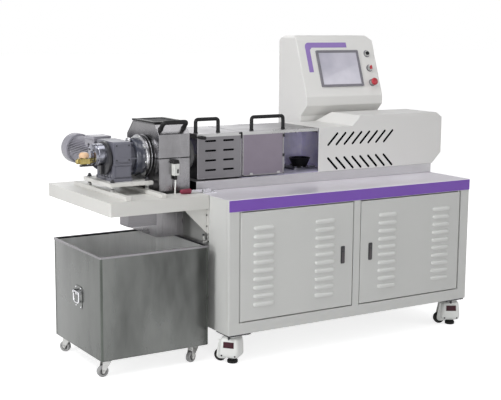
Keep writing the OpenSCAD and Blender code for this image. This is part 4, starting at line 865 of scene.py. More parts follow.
def die():
    """The die ring with its face and bolts, and the plate that carries it."""
    ring = Piece().lathe([(0, 20), (0, 71), (2, 75), (15, 75), (15, 20), (0, 20)], on_axis(DIE_X), "x", 72)
    ring.make("die_ring", DIE_PAINTED_REFLECTION, "die_flange")
    face = Piece().rod(on_axis(DIE_X + 2), 22, 13, "x", 1, 40)
    for dy, dz in circle(8, 54, 22.5):
        face.rod((DIE_X - 1.5, AXIS_Y + dy, AXIS_Z + dz), 6, 3, "x", 0.8, 6)
    face.make("die_face", BARREL_STEEL, "die_flange")
    a, b, e = SUPPORT_Y0, SUPPORT_Y1, SUPPORT_BEVEL
    outline = [(a, Z_PLINTH), (b, Z_PLINTH), (b, AXIS_Z - e), (b - e, AXIS_Z), (a + e, AXIS_Z),
               (a, AXIS_Z - e)]
    plate = Piece().extrude([outline], SUPPORT_X0, SUPPORT_X1, "x")
    for y in (266, 532):
        for z in (804, 864):
            plate.bolt((SUPPORT_X0, y, z), "x", 6, 5, -1)
    plate.make("die_support", DARK_PAINT, "support_plate", bevel=1.2)


# Drive housing

HOU_X0, HOU_X1, NICHE_X = 620, 1392, 738
VENTS, VENT_PITCH, VENT_L, VENT_W, VENT_DEPTH = 8, 48.6, 88, 11.5, 9


def housing():
    """One folded casing: slotted front, stepped and bevelled roof, cut-back right end, open feed niche."""
    ya, yb, zp, zc, zh = PLINTH_Y0, PLINTH_Y1, Z_PLINTH, Z_COVER, Z_HOUSING
    face = [(HOU_X0, zp), (HOU_X1 - 56, zp), (HOU_X1, zp + 54), (HOU_X1, zh - 26), (HOU_X1 - 36, zh),
            (HOU_X0 + 249, zh),
            (HOU_X0 + 200, zc), (HOU_X0, zc)]
    slots = []
    for i in range(VENTS):
        x = HOU_X0 + 83 + VENT_PITCH * i
        for z, turn in ((939.8, 45), (821.1, -45)):
            slots.append(slanted(x, z, VENT_L, VENT_W, turn, 3)[::-1])
    shell = Piece()
    loops = [face, *slots]
    flat = [(x, ya, z) for loop in loops for x, z in loop]
    deep = [(x, ya + VENT_DEPTH, z) for loop in slots for x, z in loop]
    first, n, k = len(face), len(flat), len(slots[0])
    faces = net(loops)
    for s in range(len(slots)):
        a, b = first + s * k, n + s * k
        faces += [(a + i, a + (i + 1) % k, b + (i + 1) % k, b + i) for i in range(k)]
        faces.append(tuple(range(b, b + k)))
    shell.add(flat + deep, faces)
    shell.crisp = set(range(first, n + len(deep)))
    (p7, p1, p2, p3, p4, p5, p6, p0) = [(x, ya, z) for x, z in [face[7], *face[1:7], face[0]]]
    yf, ym = ya + 244, ya + 244 + 76 * 26 / 49
    b5, b4, b3 = (p5[0], yf, zh), (p4[0], yf, zh), (HOU_X1, ym, zh - 26)
    c6, c7, c3, r2, r1, r0 = [(x, yb, z) for x, z in (
        (HOU_X0 + 200, zc), (HOU_X0, zc), (HOU_X1, zc), (HOU_X1, zp + 54), (HOU_X1 - 56, zp), (HOU_X0, zp))]
    ni, nj, zt = ya + 3, yb - 3, zc - 3

    def panel(*points):
        shell.add(points, [tuple(range(len(points)))])

    panel(p7, p6, c6, c7)
    panel(p6, p5, b5, c6)
    panel(p5, p4, b4, b5)
    panel(p4, p3, b3, b4)
    panel(b5, b4, b3, c3, c6)
    panel(p3, p2, r2, c3, b3)
    panel(p2, p1, r1, r2)
    panel(r0, c7, c6, c3, r2, r1)
    panel(p0, p1, r1, r0, (HOU_X0, nj, zp), (NICHE_X, nj, zp), (NICHE_X, ni, zp), (HOU_X0, ni, zp))
    panel(p0, (HOU_X0, ni, zp), (HOU_X0, ni, zt), (HOU_X0, nj, zt), (HOU_X0, nj, zp), r0, c7, p7)
    panel((HOU_X0, ni, zp), (NICHE_X, ni, zp), (NICHE_X, ni, zt), (HOU_X0, ni, zt))
    panel((HOU_X0, nj, zp), (NICHE_X, nj, zp), (NICHE_X, nj, zt), (HOU_X0, nj, zt))
    panel((HOU_X0, ni, zt), (NICHE_X, ni, zt), (NICHE_X, nj, zt), (HOU_X0, nj, zt))
    panel((NICHE_X, ni, zp), (NICHE_X, nj, zp), (NICHE_X, nj, zt), (NICHE_X, ni, zt))
    shell.make("housing_casing", WHITE, "drive_housing", bevel=2.6, segments=4, angle=20)
    # a black sheet behind the vent slots: painted shade inside the casing
    Piece().box((HOU_X0 + 40, ya + 0.7, zp + 2), (HOU_X0 + 480, ya + 8.5, zc - 1)).make(
        "housing_slot_painted_shade", PAINTED_SHADE_BLACK, "drive_housing")
    # very pale lavender sheets on the niche's end wall, sides and floor: painted light in the shaded niche
    lining = Piece().box((NICHE_X - 1.5, ni, zp), (NICHE_X, nj, zt))
    for y in (ni, nj - 1.5):
        lining.box((HOU_X0 + 1, y, zp), (NICHE_X - 1.5, y + 1.5, zt))
    lining.box((COV2[0] + 3, ni, zp), (NICHE_X - 1.5, nj, zp + 1.2))
    lining.make("niche_painted_light_lining", NICHE_PAINTED_LIGHT, "drive_housing", bevel=0.4)


# Control console

CON_X0, CON_X1, CON_Y0, CON_Y1 = 736, 1220, 565, 771
FACE_TURN = atan(102 / 282)
HEAD_Y, Z_FACE0, Z_CON = 513, 1124, 1428
SCREEN_X, SCREEN_UP, SCREEN_W, SCREEN_H = 105, 49, 267, 194
BUTTON_X, BUTTON_UP, BUTTON_PITCH = 430, 224, 79


def on_face(x, up):
    """The sloping face's own frame: x along it, z up it, -y outwards."""
    lean = Matrix.Rotation(-FACE_TURN, 4, "X")
    return Matrix.Translation((x, HEAD_Y, Z_FACE0)) @ lean @ Matrix.Translation((0, 0, up))


def console():
    """Column and leaning head as one rounded shell, with its stripe, screen and controls."""
    profile = [(CON_Y1, Z_TOP), (CON_Y0, Z_TOP), (CON_Y0, 1026), (HEAD_Y, 1078), (HEAD_Y, Z_FACE0),
               (HEAD_Y + 102, 1406),
               (HEAD_Y + 128, Z_CON), (745, Z_CON), (CON_Y1, 1402)]
    shell = Piece().extrude([profile], CON_X0, CON_X1, "x")
    shell.make("console_shell", WHITE, "control_console", bevel=8, segments=5, angle=15,
               cuts=[((CON_X0, 0, Z_CON - 12), (-1, 0, 1)), ((CON_X1, 0, Z_CON - 26), (1, 0, 1))])
    back = Piece().extrude([rounded((CON_X0 + 40, 790), (CON_X1 - 40, 1330), 8)], CON_Y1 - 2, CON_Y1 - 0.2)
    back.make("console_back_door", WHITE, "control_console", bevel=0.5)
    screws = Piece()
    for x in (CON_X0 + 52, CON_X1 - 52):
        for z in (806, 1314):
            screws.rod((x, CON_Y1 - 1, z), 4.5, 1, "y", 0.3, 16)
    screws.make("console_back_screws", ZINC, "control_console")
    stripe = Piece()
    outline = [(0, -157), (27, -157), (27, -40), (40, -27), (262, -27), (262, 0), *arc(24, -24, 24, 90, 180)]
    stripe.extrude([outline], -0.6, 0.3, "y", on_face(CON_X0 + 46, 286))
    stripe.make("console_stripe", VIOLET_FILM, "control_console")
    bezel = Piece()
    at = on_face(CON_X0 + SCREEN_X, SCREEN_UP)
    w, h = SCREEN_W, SCREEN_H
    bezel.extrude([rounded((0, 0), (w, h), 6), rounded((13, 12), (w - 13, h - 12), 2)], -6, 0, "y", at)
    bezel.box((12, -2, 11), (w - 12, 0, h - 11), at)
    bezel.make("screen_bezel", SCREEN_FRAME, "touch_screen", bevel=1.2, segments=3)
    Piece().box((13, -3.5, 12), (w - 13, -1.9, h - 12), at).make("screen_glass", SCREEN_GLASS, "touch_screen")
    rings, collars = Piece(), Piece()
    for i in range(3):
        at = on_face(CON_X0 + BUTTON_X, BUTTON_UP - BUTTON_PITCH * i)
        rings.ring((0, -8, 0), 15, 10.05, 8, "y", 1.5, 40, at)
        collars.ring((0, -0.8, 0), 19, 15.2, 0.8, "y", 0.2, 40, at)
    rings.make("control_bezels", ZINC, "control_console")
    collars.make("control_collars", SCREEN_FRAME, "control_console")
    at = on_face(CON_X0 + BUTTON_X, BUTTON_UP)
    Piece().rod((0, -14, 0), 10, 8.5, "y", 1.5, 32, at).make("push_button_cap", BLACK, "push_button")
    at = on_face(CON_X0 + BUTTON_X, BUTTON_UP - BUTTON_PITCH)
    Piece().rod((0, -14, 0), 10, 12, "y", 1, 32, at).make("selector_core", ZINC, "selector_knob")
    Piece().extrude([rounded((-4.5, -10), (4.5, 10), 3)], -22, -14, "y", at).make(
        "selector_handle", RED, "selector_knob", bevel=1.2)
    at = on_face(CON_X0 + BUTTON_X, BUTTON_UP - 2 * BUTTON_PITCH)
    Piece().rod((0, -18, 0), 10, 12.5, "y", 0.8, 32, at).make("stop_neck", ZINC, "emergency_stop")
    cap = Piece().lathe([(0, 0), (0, 10), (1.6, 15), (4, 18), (7, 19), (11, 19), (14, 16.5), (14, 0)],
                        (0, -32, 0), "y", 40, at)
    cap.make("stop_cap", RED, "emergency_stop")


# Cutting hood

Z_HOOD0, Z_HOOD1, SEAM_UP = 750, 1048, 2.5
HOOD_FRONT, HOOD_REAR, PORT_R = 46, 64, 76
LID_Y, LID_KNUCKLE, LID_THIRD = 582, 8, 51


def hood():
    """The cutting hood: gasket, lower half, seam, hinge and lid with its window and handle."""
    base = Piece()
    outer = rounded((HOOD_X0 - 4.7, HOOD_Y0 - 14), (HOOD_X1, HOOD_Y1 + 14), 3)
    inner = rect((HOOD_X0 + 4, HOOD_Y0 + 4), (HOOD_X1 - 4, HOOD_Y1 - 4))
    base.extrude([outer, inner], Z_TOP, Z_HOOD0, "z")
    base.make("hood_gasket", RUBBER, "hood_base")
    # lower half: front and back walls, and two end walls with a half-round cut
    a, b, z0, z1 = HOOD_Y0, HOOD_Y1, Z_HOOD0, AXIS_Z - 1
    wall = [(a, z0), (b, z0), (b, z1), *arc(AXIS_Y, z1, PORT_R, 0, -180, 6), (a, z1)]
    low = Piece()
    for y in (a, b - 4):
        low.box((HOOD_X0 + 4, y, z0), (HOOD_X1 - 4, y + 4, z1))
    for x in (HOOD_X0, HOOD_X1 - 4):
        low.extrude([wall], x, x + 4, "x")
    low.make("hood_lower_walls", HOOD_STEEL, "hood_lower", bevel=1)
    seam = Piece().box((HOOD_X0 + 1.5, a + 1.5, z1 - 14), (HOOD_X1 - 1.5, a + 5.5, AXIS_Z + 0.8))
    for x in (HOOD_X0 + 1.5, HOOD_X1 - 5.5):
        for y0, y1 in ((a + 5.5, AXIS_Y - PORT_R - 2), (AXIS_Y + PORT_R + 2, b - 5.5)):
            seam.box((x, y0, z1 - 4), (x + 4, y1, AXIS_Z + 0.8))
    seam.make("hood_seam_gasket", RUBBER, "hood_lower")
    hinge = Piece().ring((HOOD_X0 + LID_THIRD, LID_Y, AXIS_Z), LID_KNUCKLE, 4.0, LID_THIRD, "x", 0.8, 32)
    hinge.box((HOOD_X0 + LID_THIRD, b - 1, AXIS_Z - 8), (HOOD_X0 + 2 * LID_THIRD, LID_Y - 5, AXIS_Z - 0.5))
    hinge.rod((HOOD_X0, LID_Y, AXIS_Z), 4, HOOD_X1 - HOOD_X0, "x", 0.8, 24)
    hinge.make("hood_hinge", ZINC, "hood_lower", bevel=0.4)
    # lid
    z0, top, front, rear = AXIS_Z + SEAM_UP, Z_HOOD1, HOOD_FRONT, HOOD_REAR

    def profile(i):
        s = i * 0.4142
        return [(a + i, top - front - s), (a + front + s, top - i), (b - rear - s, top - i),
                (b - i, top - rear - s)]

    skin = [(a, z0), *profile(0), (b, z0), (b - 4, z0), *reversed(profile(4)), (a + 4, z0)]
    lid = Piece().extrude([skin], HOOD_X0, HOOD_X1, "x")
    edge = sqrt(PORT_R ** 2 - SEAM_UP ** 2)
    end = [(a + 3.9, z0), (AXIS_Y - edge, z0), *arc(AXIS_Y, AXIS_Z, PORT_R, 174, 6, 6), (AXIS_Y + edge, z0),
           (b - 3.9, z0), *reversed(profile(3.9))]
    lid.extrude([end], HOOD_X0 + 0.4, HOOD_X0 + 4, "x").extrude([end], HOOD_X1 - 4, HOOD_X1 - 0.4, "x")
    lid.make("hood_lid_shell", HOOD_STEEL, "hood_lid", bevel=1.2)
    knuckle = Piece()
    for x in (HOOD_X0, HOOD_X1 - LID_THIRD + 1):
        knuckle.ring((x, LID_Y, AXIS_Z), LID_KNUCKLE, 4.05, LID_THIRD - 1, "x", 0.8, 32)
        knuckle.box((x, b - 1, z0), (x + LID_THIRD - 1, LID_Y - 5, AXIS_Z + 8))
    knuckle.make("hood_lid_knuckles", ZINC, "hood_lid", bevel=0.4)
    xa, xb, ya, yb = HOOD_X0 - 4.7, HOOD_X1 + 5, a + front - 5, b - rear + 5
    window = Piece()
    opening = rect((xa + 22, ya + 22), (xb - 22, yb - 22))
    window.extrude([rounded((xa, ya), (xb, yb), 4), opening], top, top + 8, "z")
    window.make("hood_window_frame", BLACK, "hood_lid", bevel=1.5, segments=3)
    Piece().box((xa + 20, ya + 20, top + 0.5), (xb - 20, yb - 20, top + 5)).make(
        "hood_window_pane", SMOKED, "hood_lid")
    screws = Piece()
    for x in (xa + 11, xb - 11):
        for y in (ya + 12, AXIS_Y + 3, yb - 12):
            screws.rod((x, y, top + 7.2), 4, 0.8, "z", 0.2, 20)
    screws.make("hood_window_screws", ZINC, "hood_lid")
    bridge("hood_handle", (HOOD_MX, a + front / 2, top - front / 2), 134, 64, 10, 45)


def safety_switch():
    """The switch at the hood's front with its cable."""
    x, y0, y1, z = HOOD_X0 + 74, HOOD_Y0 - 26, HOOD_Y0, 873
    case = Piece().extrude([rounded((x - 14, y0), (x + 14, y1), 4)], z - 52, z, "z")
    case.make("switch_case", SWITCH_GREY, "safety_switch", bevel=1.2, segments=3)
    head = Piece().extrude([[(x - 14, z), (x + 14, z), (x + 14, z + 8), (x + 10, z + 18), (x - 10, z + 18),
                             (x - 14, z + 8)]], y0 + 1, y1)
    head.rod((x, y0 + 13, z - 72), 8, 20, "z", 2, 8)
    head.box((x + 1, y0 - 1, z - 42), (x + 9, y0 + 0.5, z - 24))
    head.make("switch_head_and_gland", BLACK, "safety_switch", bevel=1)
    path = [(x, y0 + 13, z - 70), (x, y0 + 13, z - 90), (x - 4, y0 + 10, Z_HOOD0 + 8),
            (x - 5, y0 + 8, Z_TOP + 0.3)]
    cable = Piece().tube(smooth_path(path, 16, 8), 3.5, 14)
    cable.make("switch_cable", CABLE_WHITE, "safety_switch")


# Cutter drive

GEAR_X0, GEAR_X1, GEAR_Y0, GEAR_Y1 = -421, -330, 315, 505
PLATE_X0, PLATE_X1, PLATE_Y0, PLATE_Y1 = -456, -244, 279, 569
Z_RAIL, Z_PLATE0, Z_PLATE1 = 758, 780.5, 796.5
GEAR_MX = (GEAR_X0 + GEAR_X1) / 2
BELL_X1, HUB_X = -267, -118
FILLER_X, FILLER_Y = -316, 385
VALVE_X0, VALVE_X, VALVE_UP, VALVE_CAP_UP = -561, -524, -8.5, 15.5


def gear_unit():
    """The cutter's gear casing with its covers, bolts, bell and filler cap."""
    x0, x1, y0, y1, z0 = GEAR_X0, GEAR_X1, GEAR_Y0, GEAR_Y1, Z_PLATE1
    corner = arc(14, 14, 14, 180, 270)
    outline = [(y0 + 6, z0 + 16), (y1 - 4, z0 + 16)]
    outline += [(y1 - 4 - u, z0 + 176 - w) for u, w in corner]
    outline += [(y0 + 6 + u, z0 + 176 - w) for u, w in corner[::-1]]
    gear = Piece().extrude([outline], x0 + 4, x1 - 3, "x")
    gear.extrude([rounded((x0, y0), (x1, y1), 6)], z0, z0 + 15, "z")
    for i in range(6):
        y = y0 + 14 + i * 30
        gear.box((x0 + 1, y, z0 + 12), (x1 - 1, y + 7, z0 + 72))
    gear.extrude([rect((y0 + 3, z0 + 72), (y1 - 2, z0 + 80))], x0 + 1, x1 - 1, "x")
    gear.rod(on_axis(x1 - 6), 60, BELL_X1 - x1 + 5, "x", 1, 56)
    for t in range(0, 360, 60):
        gear.box((-4, -3, 56), (30, 3, 76), placed(x1, AXIS_Y, AXIS_Z, t + 30))
    gear.make("gear_casting", ENAMEL, "gear_unit", bevel=2.0, segments=3)
    lid = Piece().extrude([rounded((x0 + 12, z0 + 22), (x1 - 12, z0 + 66), 5)], y0 + 1, y0 + 8)
    lid.extrude([rounded((x0 + 8, z0 + 88), (x1 - 8, z0 + 168), 12)], y0 + 1, y0 + 8)
    lid.rod((GEAR_MX, y0 + 0.4, z0 + 128), 22, 2, "y", 0.6, 40)
    lid.make("gear_covers", ENAMEL, "gear_unit", bevel=1.2)
    bolts = Piece()
    for y in (y0 + 12, y0 + 92, y1 - 14):
        for z in (z0 + 7.5, z0 + 76):
            bolts.bolt((x0 + 1, y, z), "x", 4.5, 1.2, -1, washer=False)
    for sx in (x0 + 16, x1 - 16):
        for z in (z0 + 96, z0 + 160):
            bolts.rod((sx, y0 - 0.5, z), 4, 2, "y", 0.5, 6)
        for y in (y0 + 24, y1 - 26):
            bolts.rod((sx, y, z0 + 171), 6, 4.8, "z", 1, 6)
    bolts.make("gear_bolts", DARK_PAINT, "gear_unit")
    bell = Piece().lathe([(0, 60), (0, 80), (3, 84), (34, 84), (38, 82), (38, 60), (0, 60)],
                         on_axis(BELL_X1 - 38), "x", 72)
    bell.make("bell_housing", BELL_PAINT, "gear_unit")
    cap = Piece().rod((FILLER_X, FILLER_Y, 950), 10, 24, "z", 1, 6)
    cap.lathe([(0, 0), (0, 12), (7, 12), (10, 9), (10, 0)], (FILLER_X, FILLER_Y, 972), "z", 28)
    cap.make("filler_cap", BRIGHT, "gear_unit")


def drive():
    """The base plate on studs, the gear unit, the flange and the cutter hub."""
    Piece().extrude([rounded((PLATE_X0, PLATE_Y0), (PLATE_X1, PLATE_Y1), 5)], Z_PLATE0, Z_PLATE1, "z").make(
        "base_plate", TABLE_WHITE, "drive_plate", bevel=1.5, segments=3)
    dark, pale = Piece(), Piece()
    for x in STUD_X:
        for y in (PLATE_Y0 + 22, PLATE_Y1 - 22):
            dark.rod((x, y, Z_RAIL), 6, Z_PLATE1 + 16 - Z_RAIL, "z", 1, 20)
            dark.rod((x, y, Z_PLATE1 + 1.5), 10.5, 7.5, "z", 1.2, 6)
            pale.rod((x, y, Z_PLATE1), 11, 1.5, "z", 0.4, 24).rod((x, y, Z_RAIL), 11, 1.5, "z", 0.4, 24)
            for z in (Z_RAIL + 1.5, Z_PLATE0 - 9):
                pale.rod((x, y, z), 10.5, 7.5, "z", 1.2, 6)
    dark.make("plate_studs", DARK_PAINT, "drive_plate")
    pale.make("plate_nuts", ZINC, "drive_plate")
    gear_unit()
    ring = Piece().lathe([(0, 0), (0, 92), (4, 98), (15, 98), (18, 95), (18, 60)], on_axis(BELL_X1), "x", 80)
    ring.lathe([(0, 60), (0, 96), (1, 97.5), (3, 97.5), (4, 96), (4, 60), (0, 60)], on_axis(-241), "x", 80)
    ring.rod(on_axis(-249), 60, 26, "x", 1, 56).rod(on_axis(-226), 20, 142, "x", 1, 32)
    ring.make("flange_rings", BRIGHT, "shaft_flange")
    Piece().ring(on_axis(-249.2), 94, 60, 8.4, "x", 0.5, 80).make("flange_seal", RUBBER, "shaft_flange")
    studs = Piece()
    for dy, dz in circle(8, 91, 12):
        studs.rod((BELL_X1 - 3, AXIS_Y + dy, AXIS_Z + dz), 5, 4, "x", 1, 6)
    studs.make("flange_bolts", ZINC, "shaft_flange")
    hub = Piece().rod(on_axis(HUB_X), 38, 34, "x", 2, 48)
    for i in range(4):
        hub.box((-3, -4, 20), (-0.5, 4, 37), placed(HUB_X, AXIS_Y, AXIS_Z, 90 * i))
    hub.make("cutter_hub", BARREL_STEEL, "shaft_flange", bevel=0.6)


def side_valve():
    """The disc, drum and brass valve on the gear unit's outer side."""
    x, rise = GEAR_X0, 18
    disc = Piece().lathe([(0, 0), (0, 68), (3, 74), (13, 74), (16, 71), (16, 0)], on_axis(x - 16), "x", 64)
    disc.make("side_disc", DARK_PAINT, "side_valve")
    drum = Piece().lathe([(0, 0), (0, 40), (3, 47), (8, 48), (14, 48), (16, 46), (18, 48), (50, 48), (50, 0)],
               (x - 66, AXIS_Y, AXIS_Z + rise), "x", 56)
    drum.lathe([(-5, 0), (-5, 14), (-3, 17), (1, 17), (1, 0)], (x - 66, AXIS_Y, AXIS_Z + rise), "x", 36)
    drum.make("bright_drum", DRUM_STEEL, "side_valve")
    bolts = Piece()
    for dy, dz in circle(4, 32, 45):
        bolts.rod((x - 69, AXIS_Y + dy, AXIS_Z + rise + dz), 5, 4, "x", 1, 6)
    bolts.make("drum_bolts", DARK_PAINT, "side_valve")
    valve = Piece()
    z = AXIS_Z + VALVE_UP
    valve.lathe([(0, 0), (0, 9), (2, 11), (14, 11), (15, 9), (18, 9), (19, 14.5), (30, 15.5), (48, 15.5),
                 (54, 12), (62, 11), (63, 14),
                 (74, 14), (79, 11), (79, 0)], (VALVE_X0, AXIS_Y, z), "x", 28)
    valve.box((VALVE_X - 24, AXIS_Y - 17, z - 11), (VALVE_X + 22, AXIS_Y + 17, z + 12))
    valve.rod((VALVE_X, AXIS_Y, z + 10), 12, 8, "z", 1, 28)
    valve.make("valve_body", BRASS, "side_valve", bevel=1.2)
    cap = Piece().lathe([(0, 0), (0, 20), (2, 22), (13, 22), (18, 20), (23, 13), (23, 0)],
                        (VALVE_X, AXIS_Y, z + VALVE_CAP_UP), "z", 36)
    cap.make("valve_cap", CREAM, "side_valve")
    arm = Piece().extrude([rounded((x - 126, AXIS_Y - 12), (x - 16, AXIS_Y), 3)], 865, 872, "z")
    arm.extrude([rounded((x - 28, 825), (x - 16, 872), 3)], AXIS_Y - 12, AXIS_Y)
    arm.make("valve_lever", DARK_PAINT, "side_valve", bevel=1)


FLANGE, FINS, FAN_Y = 24, 48, 282


def motor():
    """The flanged motor behind the gear unit: ribbed body, fan cover and terminal box."""
    mx, z, y = GEAR_MX, AXIS_Z, GEAR_Y1
    core = Piece().lathe([(0, 0), (0, 74), (12, 74), (15, 66), (24, 62), (24, 0)], (mx, y, z), "y", 56)
    core.lathe([(0, 0), (0, 53), (258, 53), (258, 0)], (mx, y + FLANGE, z), "y", 56)
    core.make("motor_core", MOTOR_CORE, "motor")
    fins = Piece()
    for i in range(FINS):
        fins.box((-1.1, 1, 50), (1.1, 257, 62), placed(mx, y + FLANGE, z, 360 / FINS * i, "Y"))
    fins.make("motor_fins", FIN_PALE, "motor")
    cover = Piece().lathe([(0, 61), (0, 69), (3, 71), (60, 71), (68, 67), (72, 58), (72, 0), (66, 0),
                           (66, 56), (4, 61), (0, 61)],
                (mx, y + FAN_Y, z), "y", 56)
    for r in (18, 30, 42, 54):
        cover.ring((mx, y + FAN_Y + 70, z), r, r - 4, 2, "y", 0.5, 48)
    cover.make("fan_cover", ENAMEL_PALE, "motor")
    box = Piece().extrude([rounded((mx - 47, y + 25), (mx + 47, y + 121), 8)], z + 20, z + 67, "z")
    box.extrude([rounded((mx - 46, y + 26), (mx + 46, y + 120), 8)], z + 68, z + 82, "z")
    box.rod((mx - 47, y + 73, z + 40), 11, 2, "x", 0.5, 8)
    box.make("terminal_box", ENAMEL_PALE, "motor", bevel=1.6, segments=3)
    screws = Piece()
    for sx in (-36, 36):
        for sy in (36, 110):
            screws.rod((mx + sx, y + sy, z + 81), 3.4, 1.0, "z", 0.3, 12)
    for dx, dz in circle(4, 68, 45):
        screws.rod((mx + dx, y + 12, z + dz), 5, 6, "y", 1, 6)
    screws.make("motor_screws", ZINC, "motor")


# Bin

BIN_X0, BIN_X1, BIN_Y0, BIN_Y1, BIN_Z0, BIN_Z1 = -605, -91, 60, 560, 80, 529
DROP_X, DROP_Y, DROP_Z = -617, 290, 335.93
RIM_H, WHEEL_X, WHEEL_R = 9, 22, 25
PIVOTS = [(-559, 106, 180), (-137, 106, 200), (-559, 514, 130), (-137, 514, 60)]


def bin_unit():
    """The bin: sheets with paler inner faces as painted light, corner folds with dark strips as painted
    shade, rolled rim, ring handle and casters.
    """
    x0, x1, y0, y1, z0, z1 = BIN_X0, BIN_X1, BIN_Y0, BIN_Y1, BIN_Z0, BIN_Z1
    shell = Piece()
    outer, inner = rounded((x0, y0), (x1, y1), 4, 3), rounded((x0 + 3, y0 + 3), (x1 - 3, y1 - 3), 2, 3)
    shell.extrude([outer, inner], z0 + 2.5, z1 - 3, "z").extrude([outer], z0, z0 + 3, "z")
    shell.make("bin_sheets", BIN_STEEL, "bin_body")
    # paler sheets just inside the walls and on the floor: painted light inside the bin
    liner = Piece()
    faced = rounded((x0 + 3.5, y0 + 3.5), (x1 - 3.5, y1 - 3.5), 2, 3)
    liner.extrude([inner, faced], z0 + 3, z1 - RIM_H, "z").extrude([faced], z0 + 3, z0 + 3.5, "z")
    liner.make("bin_inner_faces_painted_light", BIN_INNER_PAINTED_LIGHT, "bin_body")
    # dark strips along the rounded corners: painted shade on the folds
    folds = Piece()
    for cx, cy, start in ((x1 - 4, y0 + 4, -90), (x1 - 4, y1 - 4, 0), (x0 + 4, y1 - 4, 90),
                          (x0 + 4, y0 + 4, 180)):
        skin, core = arc(cx, cy, 4.4, start, start + 90), arc(cx, cy, 2, start, start + 90)
        folds.extrude([skin + core[::-1]], z0 + 1, z1 - RIM_H, "z")
    for x, sx in ((x0, 1), (x1, -1)):
        for y, sy in ((y0, 1), (y1, -1)):
            folds.box(*corners((x - 0.4 * sx, y + 3 * sy, z0 + 1), (x + 0.2 * sx, y + 9 * sy, z1 - RIM_H)))
            folds.box(*corners((x + 3 * sx, y - 0.4 * sy, z0 + 1), (x + 9 * sx, y + 0.2 * sy, z1 - RIM_H)))
    folds.make("bin_corner_folds", FOLD_PAINTED_SHADE, "bin_body")
    rim = Piece().extrude([rounded((x0 - 3, y0 - 3), (x1 + 3, y1 + 3), 5),
                           rounded((x0 + 3, y0 + 3), (x1 - 3, y1 - 3), 2)], z1 - RIM_H, z1, "z")
    rim.make("bin_rim", COVER_STEEL, "bin_body")
    backing = Piece().extrude([rounded((DROP_Y - 37.5, DROP_Z - 74), (DROP_Y + 37.5, DROP_Z + 26), 14)],
                              x0 - 2, x0, "x")
    backing.make("ring_backing", BIN_STEEL, "bin_body", bevel=0.8)
    plate = Piece()
    for s in (-1, 1):
        y = DROP_Y + s * 17
        plate.extrude([rounded((-10, -9), (10, 9), 6)], y - 5, y + 5, "y", placed(x0 - 11, 0, DROP_Z))
        for z in (DROP_Z + 18, DROP_Z - 64):
            plate.rod((x0 - 4, DROP_Y + s * 26, z), 4, 3, "x", 1.2, 16)
    plate.make("ring_ears", BRIGHT, "bin_body", bevel=0.8)
    ring = Piece()
    x, r = DROP_X, 27
    ring.tube(smooth_path([(x, DROP_Y - r, DROP_Z), (x, DROP_Y - r, DROP_Z - 46),
                           (x, DROP_Y + r, DROP_Z - 46),
                           (x, DROP_Y + r, DROP_Z)], 16, 8), 4, 14)
    ring.rod((x, DROP_Y - r, DROP_Z), 4, 2 * r, "y", 0, 24)
    for s in (-1, 1):
        ring.lathe([(-4, 0), (-2.8, 2.8), (0, 4), (2.8, 2.8), (4, 0)], (x, DROP_Y + s * r, DROP_Z), "z", 16)
    ring.make("ring_bail", BRIGHT, "bin_ring")
    caps = Piece()
    for px, py, _ in PIVOTS:
        caps.ring((px, py, 72), 24, 6.1, 8, "z", 1, 40)
        caps.extrude([rounded((px - 30, py - 30), (px + 30, py + 30), 5)], 78.5, 80, "z")
    caps.make("caster_caps", ZINC, "bin_body")
    for i, (px, py, turn) in enumerate(PIVOTS, 1):
        bin_caster(i, placed(px, py, 0, turn, "Z"))


def bin_caster(i, at):
    """A pressed fork that swivels under the bin, and the wheel in it."""
    fork = Piece()
    cheek = [(-11, 71), (24, 71), (30, 40), (30, 22), (26, 17), (18, 17), (12, 30), (-11, 62)]
    for y in (-15, 12):
        fork.extrude([cheek], y, y + 3, "y", at)
    fork.box((-11, -15, 68), (24, 15, 71), at)
    fork.lathe([(0, 0), (0, 22), (2, 24), (3, 24), (3, 0)], (0, 0, 68), "z", 36, at)
    fork.rod((0, 0, 70), 6, 7, "z", 0.6, 24, at)
    fork.rod((WHEEL_X, -15, WHEEL_R), 4, 30, "y", 0.6, 20, at)
    for y in (-18, 15.5):
        fork.rod((WHEEL_X, y, WHEEL_R), 6.5, 2.5, "y", 0.8, 6, at)
    name = "bin_fork_%d" % i
    fork.make(name + "_pressing", ZINC, name, bevel=0.5)
    name = "bin_wheel_%d" % i
    tread = Piece().lathe([(0, 15), (0, 22), (2, 24.4), (6, 25), (14, 25), (18, 24.4), (20, 22), (20, 15),
                           (0, 15)], (WHEEL_X, -10, WHEEL_R), "y", 40, at)
    tread.make(name + "_tread", TREAD_GREY, name)
    disc = Piece().lathe([(2, 4.05), (1, 8), (1, 9), (4, 10), (4, 15.2), (16, 15.2), (16, 10), (19, 9),
                          (19, 8), (18, 4.05), (2, 4.05)],
               (WHEEL_X, -10, WHEEL_R), "y", 40, at)
    disc.make(name + "_disc", WHEEL_GREY, name)


# Stage

def seen(nodes, links):
    """1 for rays from the camera, or from it by a mirror or a glass; 0 for the light on the object."""
    path = nodes.new("ShaderNodeLightPath")
    total = path.outputs["Is Camera Ray"]
    for name in ("Is Glossy Ray", "Is Transmission Ray"):
        add = nodes.new("ShaderNodeMath")
        add.operation = "ADD"
        add.use_clamp = True
        links.new(total, add.inputs[0])
        links.new(path.outputs[name], add.inputs[1])
        total = add.outputs["Value"]
    return total


# the sky by height: white at the horizon and darker above, which the steel reflects;
# its light on the object is weaker than what the camera sees
SKY = [(0.0, (1, 1, 1)), (0.03, (1, 1, 1)), (0.12, (0.68, 0.68, 0.69)), (0.5, (0.46, 0.46, 0.47)),
       (1.0, (0.2, 0.2, 0.21))]
SKY_LIGHT = 0.28


